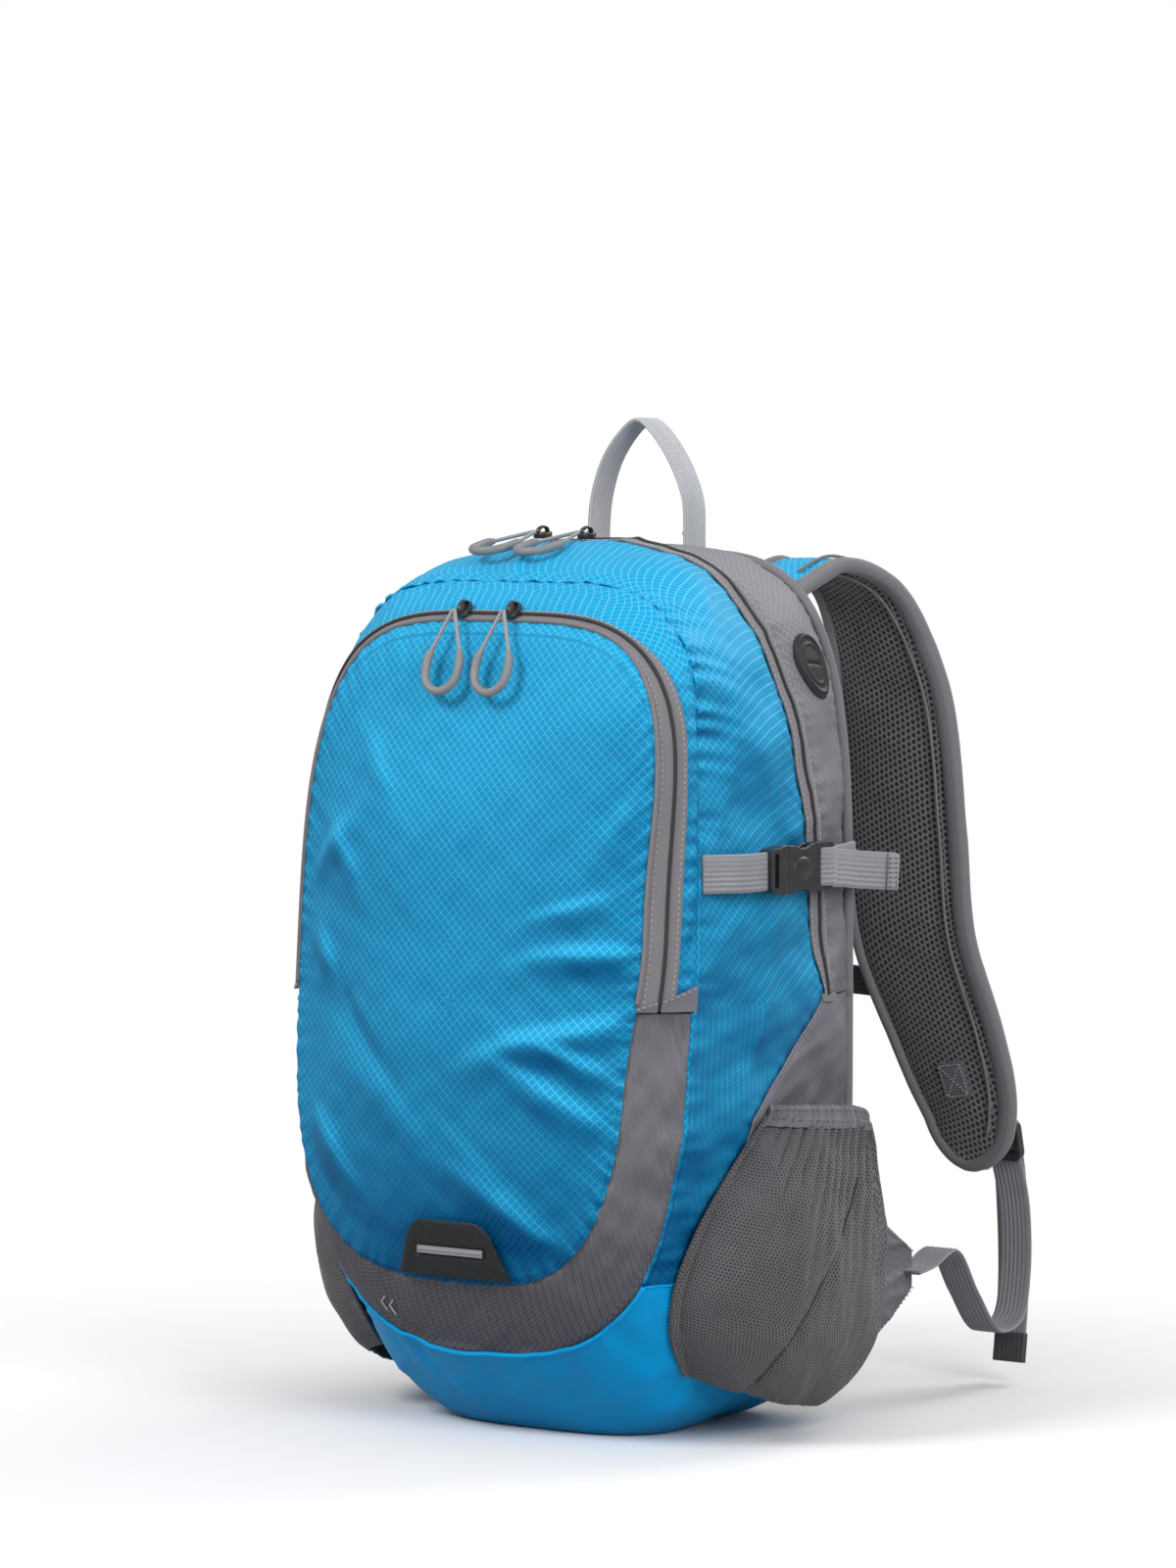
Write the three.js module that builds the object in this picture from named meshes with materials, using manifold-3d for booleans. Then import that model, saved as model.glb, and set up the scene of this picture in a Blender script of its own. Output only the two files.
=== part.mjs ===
// Daypack: a panel-loading hiking rucksack of about 22 litres, with a zipped front pocket, two mesh side
// pockets, side compression straps and padded shoulder straps.
// Millimetres, +Z up. The origin is on the floor under the middle of the bag. The front faces -Y, the
// wearer's side faces +Y, and +X is the wearer's right.
import * as THREE from 'three';
import { mergeVertices } from 'three/addons/utils/BufferGeometryUtils.js';
import Module from 'manifold-3d';

const wasm = await Module();
wasm.setup();

// ---------------------------------------------------------------- driving dimensions
const ZIP_END_Z = 230;         // both zips end at this height, and both openings fold here
const REAR_SEAM_Y = 78;        // seam between the shell and the back panel
const SHELL_ZIP = 0.4;         // shell station of the main zip; 0 is the rear seam, 1 the front seam
const SHELL_THICK = 3;         // padded and lined shell wall
const POCKET_THICK = 2.4;      // front pocket wall
const LINING_THICK = 1.5;
const ZIP_HALF = 6;            // width of one zip tape
const ZIP_THICK = 1.6;
const GAP = 0.4;               // running gap between neighbouring pieces
const BASE_SEAM_Z = 88;        // top of the coated base
const FOLD_ANGLE = 22;         // degrees below the opening's hinge line that crumple as the bag opens
const HINGE_Y = 42;            // the main opening's hinge line, through the two ends of the main zip

// Shell stations from the rear seam (0) to the front seam (1), as [station, value].
const SHELL = {
  halfWidth: [[0, 119], [0.15, 125], [0.4, 129], [0.7, 130], [1, 123]],
  top: [[0, 460], [0.15, 466], [0.4, 468], [0.7, 465], [1, 450]],
  bottom: [[0, 5], [0.1, -2], [0.4, -3], [0.75, -3], [1, 46]],
  topRound: [[0, 3.9], [0.4, 3.05], [1, 4.4]],
  bottomRound: [[0, 4.0], [0.4, 3.6], [1, 3.0]],
};
// The front pocket's outer edge, as one arched outline.
const FACE = { halfWidth: 118, top: 422, bottom: 86, topRound: 3.9, bottomRound: 3.2, taper: 0.06, bulge: 22 };

const BACK_PANEL = { y0: 78.6, y1: 84, inset: 0 };
const BACK_FOAM = { y0: 72.6, y1: 78, inset: 7 };
const SLEEVE = { y: 62, halfWidth: 96, z0: 30, z1: 330 };

const HAUL = { legX: 31, y: 60, pivotZ: 477, width: 20, thick: 2, top: 532 };
const STRAP_Z = 300;           // compression straps
const WEBBING = 20;
const BUCKLE = { x: 137.5, width: 26, depth: 8, plugY0: -25, mouthY: -8.5, rearY: 33, prong: 21 };
const PAD = { thick: 9, anchorY: 94, anchorZ: 446 };
const STERNUM = { z: 226, y: 190, plugX: -4 };

// ---------------------------------------------------------------- materials
const cloth = (color, roughness = 0.8) => new THREE.MeshStandardMaterial({ color, roughness, metalness: 0 });
const MATERIAL = {
  blueRipstop: cloth(0x1583c6, 0.55),
  blueBase: cloth(0x1179bd, 0.5),
  greyRipstop: cloth(0x6f6e74, 0.75),
  greyWebbing: cloth(0x85868b, 0.8),
  zipTape: cloth(0x77777b, 0.8),
  spacerMesh: cloth(0x3c3c40, 0.95),
  pocketMesh: cloth(0x5d5d61, 0.95),
  elastic: cloth(0x6a6a6e, 0.85),
  lining: cloth(0x8c8e92, 0.8),
  foam: cloth(0x2b2b2d, 0.95),
  blackPlastic: cloth(0x17171a, 0.45),
  blackRubber: cloth(0x202024, 0.6),
  sliderMetal: new THREE.MeshStandardMaterial({ color: 0x2a2a2c, roughness: 0.4, metalness: 0.6 }),
  pullCord: cloth(0x7d7d80, 0.7),
};

// ---------------------------------------------------------------- shape functions
const lerp = (a, b, t) => a + (b - a) * t;
const clamp01 = (t) => Math.min(1, Math.max(0, t));
const TOP_ANGLE = Math.PI / 2;

/** Smooth value of a [station, value] table at a station. */
function atStation(table, station) {
  const last = table.length - 2;
  let i = 0;
  while (i < last && station > table[i + 1][0]) i += 1;
  const slope = (a, b) => (table[b][1] - table[a][1]) / (table[b][0] - table[a][0]);
  const m0 = i > 0 ? slope(i - 1, i + 1) : slope(i, i + 1);
  const m1 = i < last ? slope(i, i + 2) : slope(i, i + 1);
  const h = table[i + 1][0] - table[i][0];
  const t = (station - table[i][0]) / h;
  const t2 = t * t;
  const t3 = t2 * t;
  return (2 * t3 - 3 * t2 + 1) * table[i][1] + (t3 - 2 * t2 + t) * h * m0
    + (3 * t2 - 2 * t3) * table[i + 1][1] + (t3 - t2) * h * m1;
}

/** Point of an arched outline: angle 0 is the right side at zip-end height, a quarter turn is the top. */
function arch(angle, halfWidth, top, bottom, topRound, bottomRound) {
  const c = Math.cos(angle);
  const s = Math.sin(angle);
  const power = s > 0 ? topRound : bottomRound;
  const k = (Math.abs(c) ** power + Math.abs(s) ** power) ** (1 / power);
  const height = s > 0 ? top - ZIP_END_Z : ZIP_END_Z - bottom;
  return [(halfWidth * c) / k, ZIP_END_Z + (height * s) / k];
}

const zipY = (z) => HINGE_Y - 24 * clamp01((z - ZIP_END_Z) / 238) ** 1.4;
const frontSeamY = (z) => -88 + 40 * clamp01(z / 450);

/** Point of the bag's shell: the rear seam at station 0, the main zip at 0.4 and the front seam at 1. */
function shell(angle, station) {
  const [x, rawZ] = arch(angle, ...['halfWidth', 'top', 'bottom', 'topRound', 'bottomRound']
    .map((key) => atStation(SHELL[key], station)));
  const z = Math.max(rawZ, 0);
  const y = station < SHELL_ZIP
    ? lerp(REAR_SEAM_Y, zipY(z), station / SHELL_ZIP)
    : lerp(zipY(z), frontSeamY(z), (station - SHELL_ZIP) / (1 - SHELL_ZIP));
  return new THREE.Vector3(x, y, z);
}

/** 0 to 1 with level ends. */
function smoothStep(t) {
  const s = clamp01(t);
  return s * s * (3 - 2 * s);
}

/** The pocket leans to the left: its right edge draws in below the top corner, its left edge only near the foot. */
function faceNarrowing(x, z) {
  if (x <= 0) return 1 - FACE.taper * clamp01((ZIP_END_Z - z) / 150);
  return 1 - 0.11 * smoothStep((400 - z) / 120) - 0.075 * smoothStep((265 - z) / 75);
}

/** Outline of the pocket's outer edge at an angle, as [x, z]. */
function faceOutline(angle) {
  const [x, z] = arch(angle, FACE.halfWidth, FACE.top, FACE.bottom, FACE.topRound, FACE.bottomRound);
  return [x * faceNarrowing(x, z), z];
}

/** Depth of the pocket's bulging face at a place on it. */
function faceY(x, z) {
  const up = z > ZIP_END_Z;
  const height = up ? FACE.top - ZIP_END_Z : ZIP_END_Z - FACE.bottom;
  const power = up ? FACE.topRound : FACE.bottomRound;
  const halfWidth = FACE.halfWidth * (x > 0 ? faceNarrowing(x, z) : 1);
  const ratio = (Math.abs(x / halfWidth) ** power + Math.abs((z - ZIP_END_Z) / height) ** power) ** (1 / power);
  const edge = up ? lerp(-90, -76, clamp01((z - ZIP_END_Z) / 190)) : lerp(-90, -104, clamp01((ZIP_END_Z - z) / 144));
  return edge - FACE.bulge * (1 - Math.min(1, ratio) ** 2.5);
}

/** Point on the pocket's side wall, from the front seam (0) to the face's edge (1). */
function pocketWall(angle, t) {
  const [x, z] = faceOutline(angle);
  return shell(angle, 1).lerp(new THREE.Vector3(x, faceY(x, z), z), t);
}

/** Angle in the lower half where a curve drops below a height that may depend on depth. */
function angleAtHeight(curve, height) {
  let above = 0;
  let below = -TOP_ANGLE;
  for (let i = 0; i < 40; i += 1) {
    const middle = (above + below) / 2;
    const p = curve(middle);
    if (p.z > height(p.y)) above = middle;
    else below = middle;
  }
  return above;
}

const foldHeight = (y) => ZIP_END_Z - Math.max(0, HINGE_Y - y) * Math.tan(THREE.MathUtils.degToRad(FOLD_ANGLE));
const mirrored = (angle) => -Math.PI - angle;

// ---------------------------------------------------------------- solid builders
function solidFrom(positions, triangles) {
  let geometry = new THREE.BufferGeometry();
  geometry.setAttribute('position', new THREE.Float32BufferAttribute(positions, 3));
  geometry.setIndex(triangles);
  geometry = mergeVertices(geometry, 1e-3);
  const index = Array.from(geometry.index.array);
  const kept = [];
  for (let i = 0; i < index.length; i += 3) {
    const [a, b, c] = index.slice(i, i + 3);
    if (a !== b && b !== c && c !== a) kept.push(a, b, c);
  }
  const at = (i) => new THREE.Vector3().fromBufferAttribute(geometry.attributes.position, i);
  let volume = 0;
  for (let i = 0; i < kept.length; i += 3) {
    volume += at(kept[i]).dot(at(kept[i + 1]).cross(at(kept[i + 2])));
  }
  if (volume < 0) {
    for (let i = 0; i < kept.length; i += 3) [kept[i], kept[i + 1]] = [kept[i + 1], kept[i]];
  }
  geometry.setIndex(kept);
  return geometry;
}

/** Closed panel of even thickness: point(u, v) is its outer face, and the wall grows towards core. */
function panel(point, nu, nv, thick, core) {
  const step = 1e-3;
  const normalAt = (u, v) => {
    const du = point(Math.min(1, u + step), v).sub(point(Math.max(0, u - step), v));
    const dv = point(u, Math.min(1, v + step)).sub(point(u, Math.max(0, v - step)));
    return du.cross(dv).normalize();
  };
  const middle = point(0.5, 0.5);
  const sign = normalAt(0.5, 0.5).dot(core.clone().sub(middle)) > 0 ? 1 : -1;
  const positions = [];
  const layers = [0, thick];
  for (const depth of layers) {
    for (let i = 0; i <= nu; i += 1) {
      for (let j = 0; j <= nv; j += 1) {
        const p = point(i / nu, j / nv).addScaledVector(normalAt(i / nu, j / nv), sign * depth);
        positions.push(p.x, p.y, p.z);
      }
    }
  }
  const row = nv + 1;
  const layer = (nu + 1) * row;
  const triangles = [];
  const quad = (a, b, c, d) => triangles.push(a, b, c, a, c, d);
  for (let i = 0; i < nu; i += 1) {
    for (let j = 0; j < nv; j += 1) {
      const a = i * row + j;
      quad(a, a + row, a + row + 1, a + 1);
      quad(layer + a, layer + a + 1, layer + a + row + 1, layer + a + row);
    }
  }
  for (let i = 0; i < nu; i += 1) {
    const a = i * row;
    quad(a, layer + a, layer + a + row, a + row);
    const b = a + nv;
    quad(b, b + row, layer + b + row, layer + b);
  }
  for (let j = 0; j < nv; j += 1) {
    quad(j, j + 1, layer + j + 1, layer + j);
    const b = nu * row + j;
    quad(b, layer + b, layer + b + 1, b + 1);
  }
  return solidFrom(positions, triangles);
}

/** Flat strap swept along points. Widths and thickness are full sizes; across is the width's direction. */
function strap(points, widths, thick, across) {
  const curve = new THREE.CatmullRomCurve3(points.map((p) => new THREE.Vector3(...p)));
  const steps = (points.length - 1) * 2;
  const positions = [];
  for (let i = 0; i <= steps; i += 1) {
    const t = i / steps;
    const centre = curve.getPoint(t);
    const tangent = curve.getTangent(t);
    const side = across.clone().addScaledVector(tangent, -across.dot(tangent)).normalize();
    const normal = new THREE.Vector3().crossVectors(tangent, side);
    const place = t * (widths.length - 1);
    const k = Math.min(Math.floor(place), widths.length - 2);
    const half = lerp(widths[k], widths[k + 1], place - k) / 2;
    for (const [a, b] of [[-1, -1], [1, -1], [1, 1], [-1, 1]]) {
      const p = centre.clone().addScaledVector(side, a * half).addScaledVector(normal, (b * thick) / 2);
      positions.push(p.x, p.y, p.z);
    }
  }
  const triangles = [0, 1, 2, 0, 2, 3];
  for (let i = 0; i < steps; i += 1) {
    for (let j = 0; j < 4; j += 1) {
      const a = i * 4 + j;
      const b = i * 4 + ((j + 1) % 4);
      triangles.push(a, a + 4, b + 4, a, b + 4, b);
    }
  }
  const end = steps * 4;
  triangles.push(end, end + 2, end + 1, end, end + 3, end + 2);
  return solidFrom(positions, triangles);
}

function box(x0, x1, y0, y1, z0, z1) {
  return new THREE.BoxGeometry(x1 - x0, y1 - y0, z1 - z0).translate((x0 + x1) / 2, (y0 + y1) / 2, (z0 + z1) / 2);
}

function toManifold(geometry) {
  const bare = geometry.clone();
  bare.deleteAttribute('normal');
  bare.deleteAttribute('uv');
  const merged = mergeVertices(bare, 1e-4);
  return new wasm.Manifold(new wasm.Mesh({
    numProp: 3,
    vertProperties: new Float32Array(merged.attributes.position.array),
    triVerts: new Uint32Array(merged.index.array),
  }));
}

function fromManifold(solid) {
  const mesh = solid.getMesh();
  const geometry = new THREE.BufferGeometry();
  geometry.setAttribute('position', new THREE.Float32BufferAttribute(Array.from(mesh.vertProperties), 3));
  geometry.setIndex(Array.from(mesh.triVerts));
  return geometry;
}

const join = (first, ...rest) => rest.reduce((sum, g) => sum.add(toManifold(g)), toManifold(first));
const cut = (solid, ...tools) => tools.reduce((left, g) => left.subtract(toManifold(g)), solid);

// ---------------------------------------------------------------- assembly
const daypack = new THREE.Group();

function add(name, geometry, material) {
  const mesh = new THREE.Mesh(geometry, material);
  mesh.name = name;
  daypack.add(mesh);
  return mesh;
}

const AXIS_CORE = new THREE.Vector3(0, 0, ZIP_END_Z);
const INSIDE = new THREE.Vector3(0, 200, ZIP_END_Z);
const ANGLE_GAP = 0.004;
const upper = (u) => lerp(ANGLE_GAP, Math.PI - ANGLE_GAP, u);
const SIDES = [['right', 1], ['left', -1]];
/** The same shell angle on the right (side 1) or the left (side -1). */
const sided = (angle, side) => (side > 0 ? angle : mirrored(angle));

/** Shell station a number of millimetres behind (negative) or ahead of the main zip. */
function nearZip(angle, millimetres) {
  const z = shell(angle, SHELL_ZIP).z;
  const behind = millimetres < 0;
  const length = behind ? REAR_SEAM_Y - zipY(z) : zipY(z) - frontSeamY(z);
  return SHELL_ZIP + (millimetres / length) * (behind ? SHELL_ZIP : 1 - SHELL_ZIP);
}

/** Panel on the shell between two stations, which may depend on the angle. */
function shellPanel(angleOf, from, to, nu, nv, thick) {
  const point = (u, v) => {
    const [fromStation, toStation] = [from(angleOf(u, 0.5)), to(angleOf(u, 0.5))];
    const station = lerp(fromStation, toStation, v);
    return shell(angleOf(u, station), station);
  };
  return panel(point, nu, nv, thick, AXIS_CORE);
}

function addUpperShell() {
  const rearStart = () => 0.006;
  add('rear_gusset', shellPanel(upper, rearStart, (a) => nearZip(a, -ZIP_HALF - GAP), 26, 3, SHELL_THICK),
    MATERIAL.greyRipstop);
  add('main_zip_rear_tape', shellPanel(upper, (a) => nearZip(a, -ZIP_HALF), (a) => nearZip(a, -GAP), 26, 1,
    ZIP_THICK), MATERIAL.zipTape);
  add('main_zip_front_tape', shellPanel(upper, (a) => nearZip(a, GAP), (a) => nearZip(a, ZIP_HALF), 26, 1,
    ZIP_THICK), MATERIAL.zipTape);
  add('front_gusset', shellPanel(upper, (a) => nearZip(a, ZIP_HALF + GAP), () => 1, 26, 6, SHELL_THICK),
    MATERIAL.blueRipstop);
}

function addLowerShell() {
  const baseAngle = (station) => angleAtHeight((a) => shell(a, station), () => BASE_SEAM_Z + GAP);
  const foldAngle = (station) => angleAtHeight((a) => shell(a, station), foldHeight);
  for (const [name, side] of SIDES) {
    const rear = (u, station) => sided(lerp(-ANGLE_GAP, baseAngle(station), u), side);
    add(`side_panel_rear_${name}`, shellPanel(rear, () => 0.006, () => SHELL_ZIP - 0.004, 6, 3, SHELL_THICK),
      MATERIAL.greyRipstop);
    const fold = (u, station) => sided(lerp(-ANGLE_GAP, foldAngle(station) + ANGLE_GAP, u), side);
    add(`side_fold_${name}`, shellPanel(fold, () => 0.48, () => 1, 3, 5, SHELL_THICK), MATERIAL.blueRipstop);
    const front = (u, station) => sided(lerp(Math.min(foldAngle(station), -ANGLE_GAP), baseAngle(station), u), side);
    add(`side_panel_front_${name}`, shellPanel(front, () => SHELL_ZIP, () => 1, 5, 6, SHELL_THICK),
      MATERIAL.blueRipstop);
  }
  const seamAngle = (station) => angleAtHeight((a) => shell(a, station), () => BASE_SEAM_Z);
  const base = (u, station) => lerp(seamAngle(station), mirrored(seamAngle(station)), u);
  add('base_panel', shellPanel(base, () => 0.006, () => 1, 20, 9, SHELL_THICK), MATERIAL.blueBase);
}

/** Outline shape of the rear seam, drawn in from its edge, as a plate between two depths. */
function backPlate({ y0, y1, inset }) {
  const outline = new THREE.Shape();
  const count = 40;
  for (let i = 0; i < count; i += 1) {
    const p = shell((i / count) * 2 * Math.PI, 0);
    const point = new THREE.Vector2(p.x, p.z - ZIP_END_Z);
    point.setLength(point.length() - inset);
    outline[i === 0 ? 'moveTo' : 'lineTo'](point.x, point.y);
  }
  outline.closePath();
  return new THREE.ExtrudeGeometry(outline, { depth: y1 - y0, bevelEnabled: false, steps: 1 })
    .rotateX(Math.PI / 2).translate(0, y1, ZIP_END_Z);
}

function addBack() {
  add('back_panel', toSolid(backPlate(BACK_PANEL)), MATERIAL.spacerMesh);
  add('back_foam', toSolid(backPlate(BACK_FOAM)), MATERIAL.foam);
  const { y, halfWidth, z0, z1 } = SLEEVE;
  add('inner_sleeve', box(-halfWidth, halfWidth, y, y + LINING_THICK, z0, z1), MATERIAL.lining);
}

function toSolid(geometry) {
  return fromManifold(toManifold(geometry));
}

/** Panel spanning the pocket face between two outline angles, drawn in to a share of its width and height. */
function facePanel(fromAngle, toAngle, [widthShare, heightShare], nu, nv) {
  const point = (u, v) => {
    const angle = lerp(fromAngle, toAngle, v);
    const [right, z] = faceOutline(angle);
    const [left] = faceOutline(Math.PI - angle);
    const x = widthShare * lerp(left, right, u);
    const drawnZ = ZIP_END_Z + (z - ZIP_END_Z) * heightShare;
    return new THREE.Vector3(x, faceY(x, drawnZ), drawnZ);
  };
  return panel(point, nu, nv, POCKET_THICK, INSIDE);
}

const faceFoldAngle = () => angleAtHeight((a) => pocketWall(a, 1), foldHeight);

function addFrontPocket() {
  const wall = (from, to) => panel((u, v) => pocketWall(upper(u), lerp(from, to, v)), 26, 1, POCKET_THICK, AXIS_CORE);
  add('pocket_gusset', wall(0.16, 0.6), MATERIAL.blueRipstop);
  add('pocket_zip_gusset_tape', wall(0.63, 0.93), MATERIAL.zipTape);
  add('pocket_zip_flap_tape', flapTape(), MATERIAL.zipTape);
  add('pocket_flap', facePanel(ANGLE_GAP, 1.43, [0.9, 0.92], 12, 8), MATERIAL.blueRipstop);

  const foldStart = -ANGLE_GAP;
  const foldEnd = faceFoldAngle() + ANGLE_GAP;
  add('pocket_fold', facePanel(foldStart, foldEnd, [0.97, 1], 12, 3), MATERIAL.blueRipstop);
  add('pocket_face_lower', facePanel(foldEnd - 2 * ANGLE_GAP, -1.43, [0.95, 1], 12, 6), MATERIAL.blueRipstop);
  const band = (u) => lerp(faceFoldAngle() - ANGLE_GAP, mirrored(faceFoldAngle()) + ANGLE_GAP, u);
  add('pocket_band', panel((u, v) => pocketWall(band(u), lerp(0.16, 0.9, v)), 22, 2, POCKET_THICK, AXIS_CORE),
    MATERIAL.greyRipstop);
}

/** The zip tape round the flap's edge. */
function flapTape() {
  const point = (u, v) => {
    const [x, z] = faceOutline(upper(u));
    const share = lerp(0.965, 0.915, v);
    const [px, pz] = [x * share, ZIP_END_Z + (z - ZIP_END_Z) * (share + 0.015)];
    return new THREE.Vector3(px, faceY(px, pz), Math.max(pz, ZIP_END_Z + 0.6));
  };
  return panel(point, 26, 1, ZIP_THICK, INSIDE);
}

/** Lining panel between the main compartment and the front pocket, between two angles. */
function divider(fromAngle, toAngle, nv) {
  const point = (u, v) => {
    const edge = shell(lerp(fromAngle, toAngle, v), 1);
    const z = ZIP_END_Z + (edge.z - ZIP_END_Z) * 0.955;
    return new THREE.Vector3(edge.x * 0.95 * (2 * u - 1), frontSeamY(z) + 7, z);
  };
  return panel(point, 4, nv, LINING_THICK, INSIDE);
}

function addDivider() {
  const low = angleAtHeight((a) => shell(a, 1), foldHeight);
  add('divider_upper', divider(ANGLE_GAP, 1.45, 6), MATERIAL.lining);
  add('divider_fold', divider(-ANGLE_GAP, low + ANGLE_GAP, 2), MATERIAL.lining);
  add('divider_lower', divider(low - ANGLE_GAP, -1.35, 5), MATERIAL.lining);
}

// ---------------------------------------------------------------- side pockets and fittings
const POCKET_STAND_OFF = 1.8;

/** How far the gathered mesh stands off the side, across (0 rear to 1 front) and up (0 to 1). */
function pocketBelly(across, up) {
  const acrossBelly = Math.sin(Math.PI * Math.min(1, across * 1.02 + 0.02)) ** 0.35;
  const rise = Math.sin(Math.PI * clamp01(up * 0.85 + 0.06) ** 0.6) ** 0.65;
  return POCKET_STAND_OFF + acrossBelly * (7 + 32 * rise);
}

const POCKET_STATIONS = { rear: 0.03, rearFoot: 0.13, frontTop: 0.7, frontMiddle: 0.93, frontLow: 0.8 };

function sidePocketPoint(across, up, side, lift) {
  const { rear, rearFoot, frontLow, frontMiddle, frontTop } = POCKET_STATIONS;
  const swell = 4 * clamp01(up) * (1 - clamp01(up));
  const front = lerp(frontLow, frontTop, up) + swell * (frontMiddle - (frontLow + frontTop) / 2);
  const station = lerp(lerp(rear, rearFoot, clamp01(1 - up / 0.35) ** 2), front, across);
  const height = lerp(lerp(20, 38, across), lerp(160, 172, across), up);
  const angle = angleAtHeight((a) => shell(a, station), () => height);
  const p = shell(angle, station);
  const outward = new THREE.Vector3(1, 0, -0.25 * (1 - up)).normalize();
  p.addScaledVector(outward, pocketBelly(across, up) + lift);
  p.x *= side;
  return p;
}

function addSidePockets() {
  for (const [name, side] of SIDES) {
    const core = new THREE.Vector3(0, 0, 120);
    const cloth3d = (u, v) => sidePocketPoint(u, v * 0.96, side, 0);
    add(`side_pocket_mesh_${name}`, panel(cloth3d, 10, 7, 0.8, core), MATERIAL.pocketMesh);
    const hem = (u, v) => sidePocketPoint(u, lerp(0.975, 1.04, v), side, 0.6);
    add(`side_pocket_elastic_${name}`, panel(hem, 10, 1, 1.8, core), MATERIAL.elastic);
  }
}

/** Teardrop rubber cable port on the right of the rear gusset. */
function addCablePort() {
  const centreAngle = 0.69;
  const point = (u, v) => {
    const turn = 2 * Math.PI * u;
    const radius = lerp(0.12, 1, v);
    const length = Math.cos(turn) > 0 ? 1 : 0.8;
    const p = shell(centreAngle + 0.075 * radius * Math.sin(turn), 0.165 + 0.11 * radius * length * Math.cos(turn));
    return p.addScaledVector(new THREE.Vector3(0.86, 0, 0.5), 2.4);
  };
  const rim = [];
  const count = 20;
  for (let i = 0; i < count; i += 1) rim.push(point(i / count, 1));
  const positions = [];
  const push = (p) => positions.push(p.x, p.y, p.z);
  rim.forEach(push);
  rim.forEach((p) => push(p.clone().addScaledVector(new THREE.Vector3(-0.86, 0, -0.5), 1.8)));
  const top = point(0, 0);
  push(top);
  push(top.clone().addScaledVector(new THREE.Vector3(-0.86, 0, -0.5), 1.8));
  const triangles = [];
  for (let i = 0; i < count; i += 1) {
    const j = (i + 1) % count;
    triangles.push(2 * count, i, j, 2 * count + 1, count + j, count + i);
    triangles.push(i, count + i, count + j, i, count + j, j);
  }
  add('cable_port', solidFrom(positions, triangles), MATERIAL.blackRubber);
}

/** Rubber light tab at the bottom of the pocket face. */
function addLightTab() {
  const tab = { z0: 92, z1: 122, low: 34, high: 24, thick: 2.4, lift: 0.5 };
  const point = (u, v) => {
    const z = lerp(tab.z0, tab.z1, v);
    const x = lerp(tab.low, tab.high, v ** 3) * (2 * u - 1);
    return new THREE.Vector3(x, faceY(x, z) - tab.lift - tab.thick, z);
  };
  add('light_tab', panel(point, 8, 4, tab.thick, INSIDE), MATERIAL.blackRubber);
}

function addHaulLoop() {
  const { legX, y, pivotZ, width, thick, top } = HAUL;
  const foot = pivotZ - width / 2 + 0.8;
  const path = [[-legX, y, foot], [-legX + 1, y, pivotZ + 14], [-19, y, top - 12], [0, y, top],
    [19, y, top - 12], [legX - 1, y, pivotZ + 14], [legX, y, foot]];
  add('haul_loop', strap(path, [9, width, width, width, width, width, 9], thick, new THREE.Vector3(0, 1, 0)),
    MATERIAL.greyWebbing);
}

// ---------------------------------------------------------------- compression straps
function plugSolid(side) {
  const { x, width, depth, plugY0, mouthY, prong } = BUCKLE;
  const half = width / 2;
  const x0 = x - depth / 2;
  const x1 = x + depth / 2;
  const prongDepth = 1.3;
  const shoulder = box(x0, x1, plugY0, mouthY - GAP, STRAP_Z - half, STRAP_Z + half);
  const tongues = [-1, 0, 1].map((k) => box(x - prongDepth, x + prongDepth, mouthY - 2, mouthY + prong - (k ? 2 : 7),
    STRAP_Z + k * 8 - 1.8, STRAP_Z + k * 8 + 1.8));
  const slot = box(x0 - 1, x1 + 1, plugY0 + 4, plugY0 + 8, STRAP_Z - half + 3, STRAP_Z + half - 3);
  return mirrorSide(cut(join(shoulder, ...tongues), slot), side);
}

function socketSolid(side) {
  const { x, width, depth, mouthY, rearY, prong } = BUCKLE;
  const half = width / 2;
  const x0 = x - depth / 2;
  const x1 = x + depth / 2;
  const outer = box(x0, x1, mouthY, rearY, STRAP_Z - half, STRAP_Z + half);
  const cavity = box(x - 1.9, x + 1.9, mouthY - 1, mouthY + prong + 1, STRAP_Z - half + 2, STRAP_Z + half - 2);
  const ladderSlots = [24, 29].map((y) => box(x0 - 1, x1 + 1, y - 1.3, y + 1.3, STRAP_Z - half + 3, STRAP_Z + half - 3));
  return mirrorSide(cut(toManifold(outer), cavity, ...ladderSlots), side);
}

function mirrorSide(solid, side) {
  const geometry = fromManifold(solid);
  if (side > 0) return geometry;
  geometry.scale(-1, 1, 1);
  return solidFrom(Array.from(geometry.attributes.position.array), Array.from(geometry.index.array));
}

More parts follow.
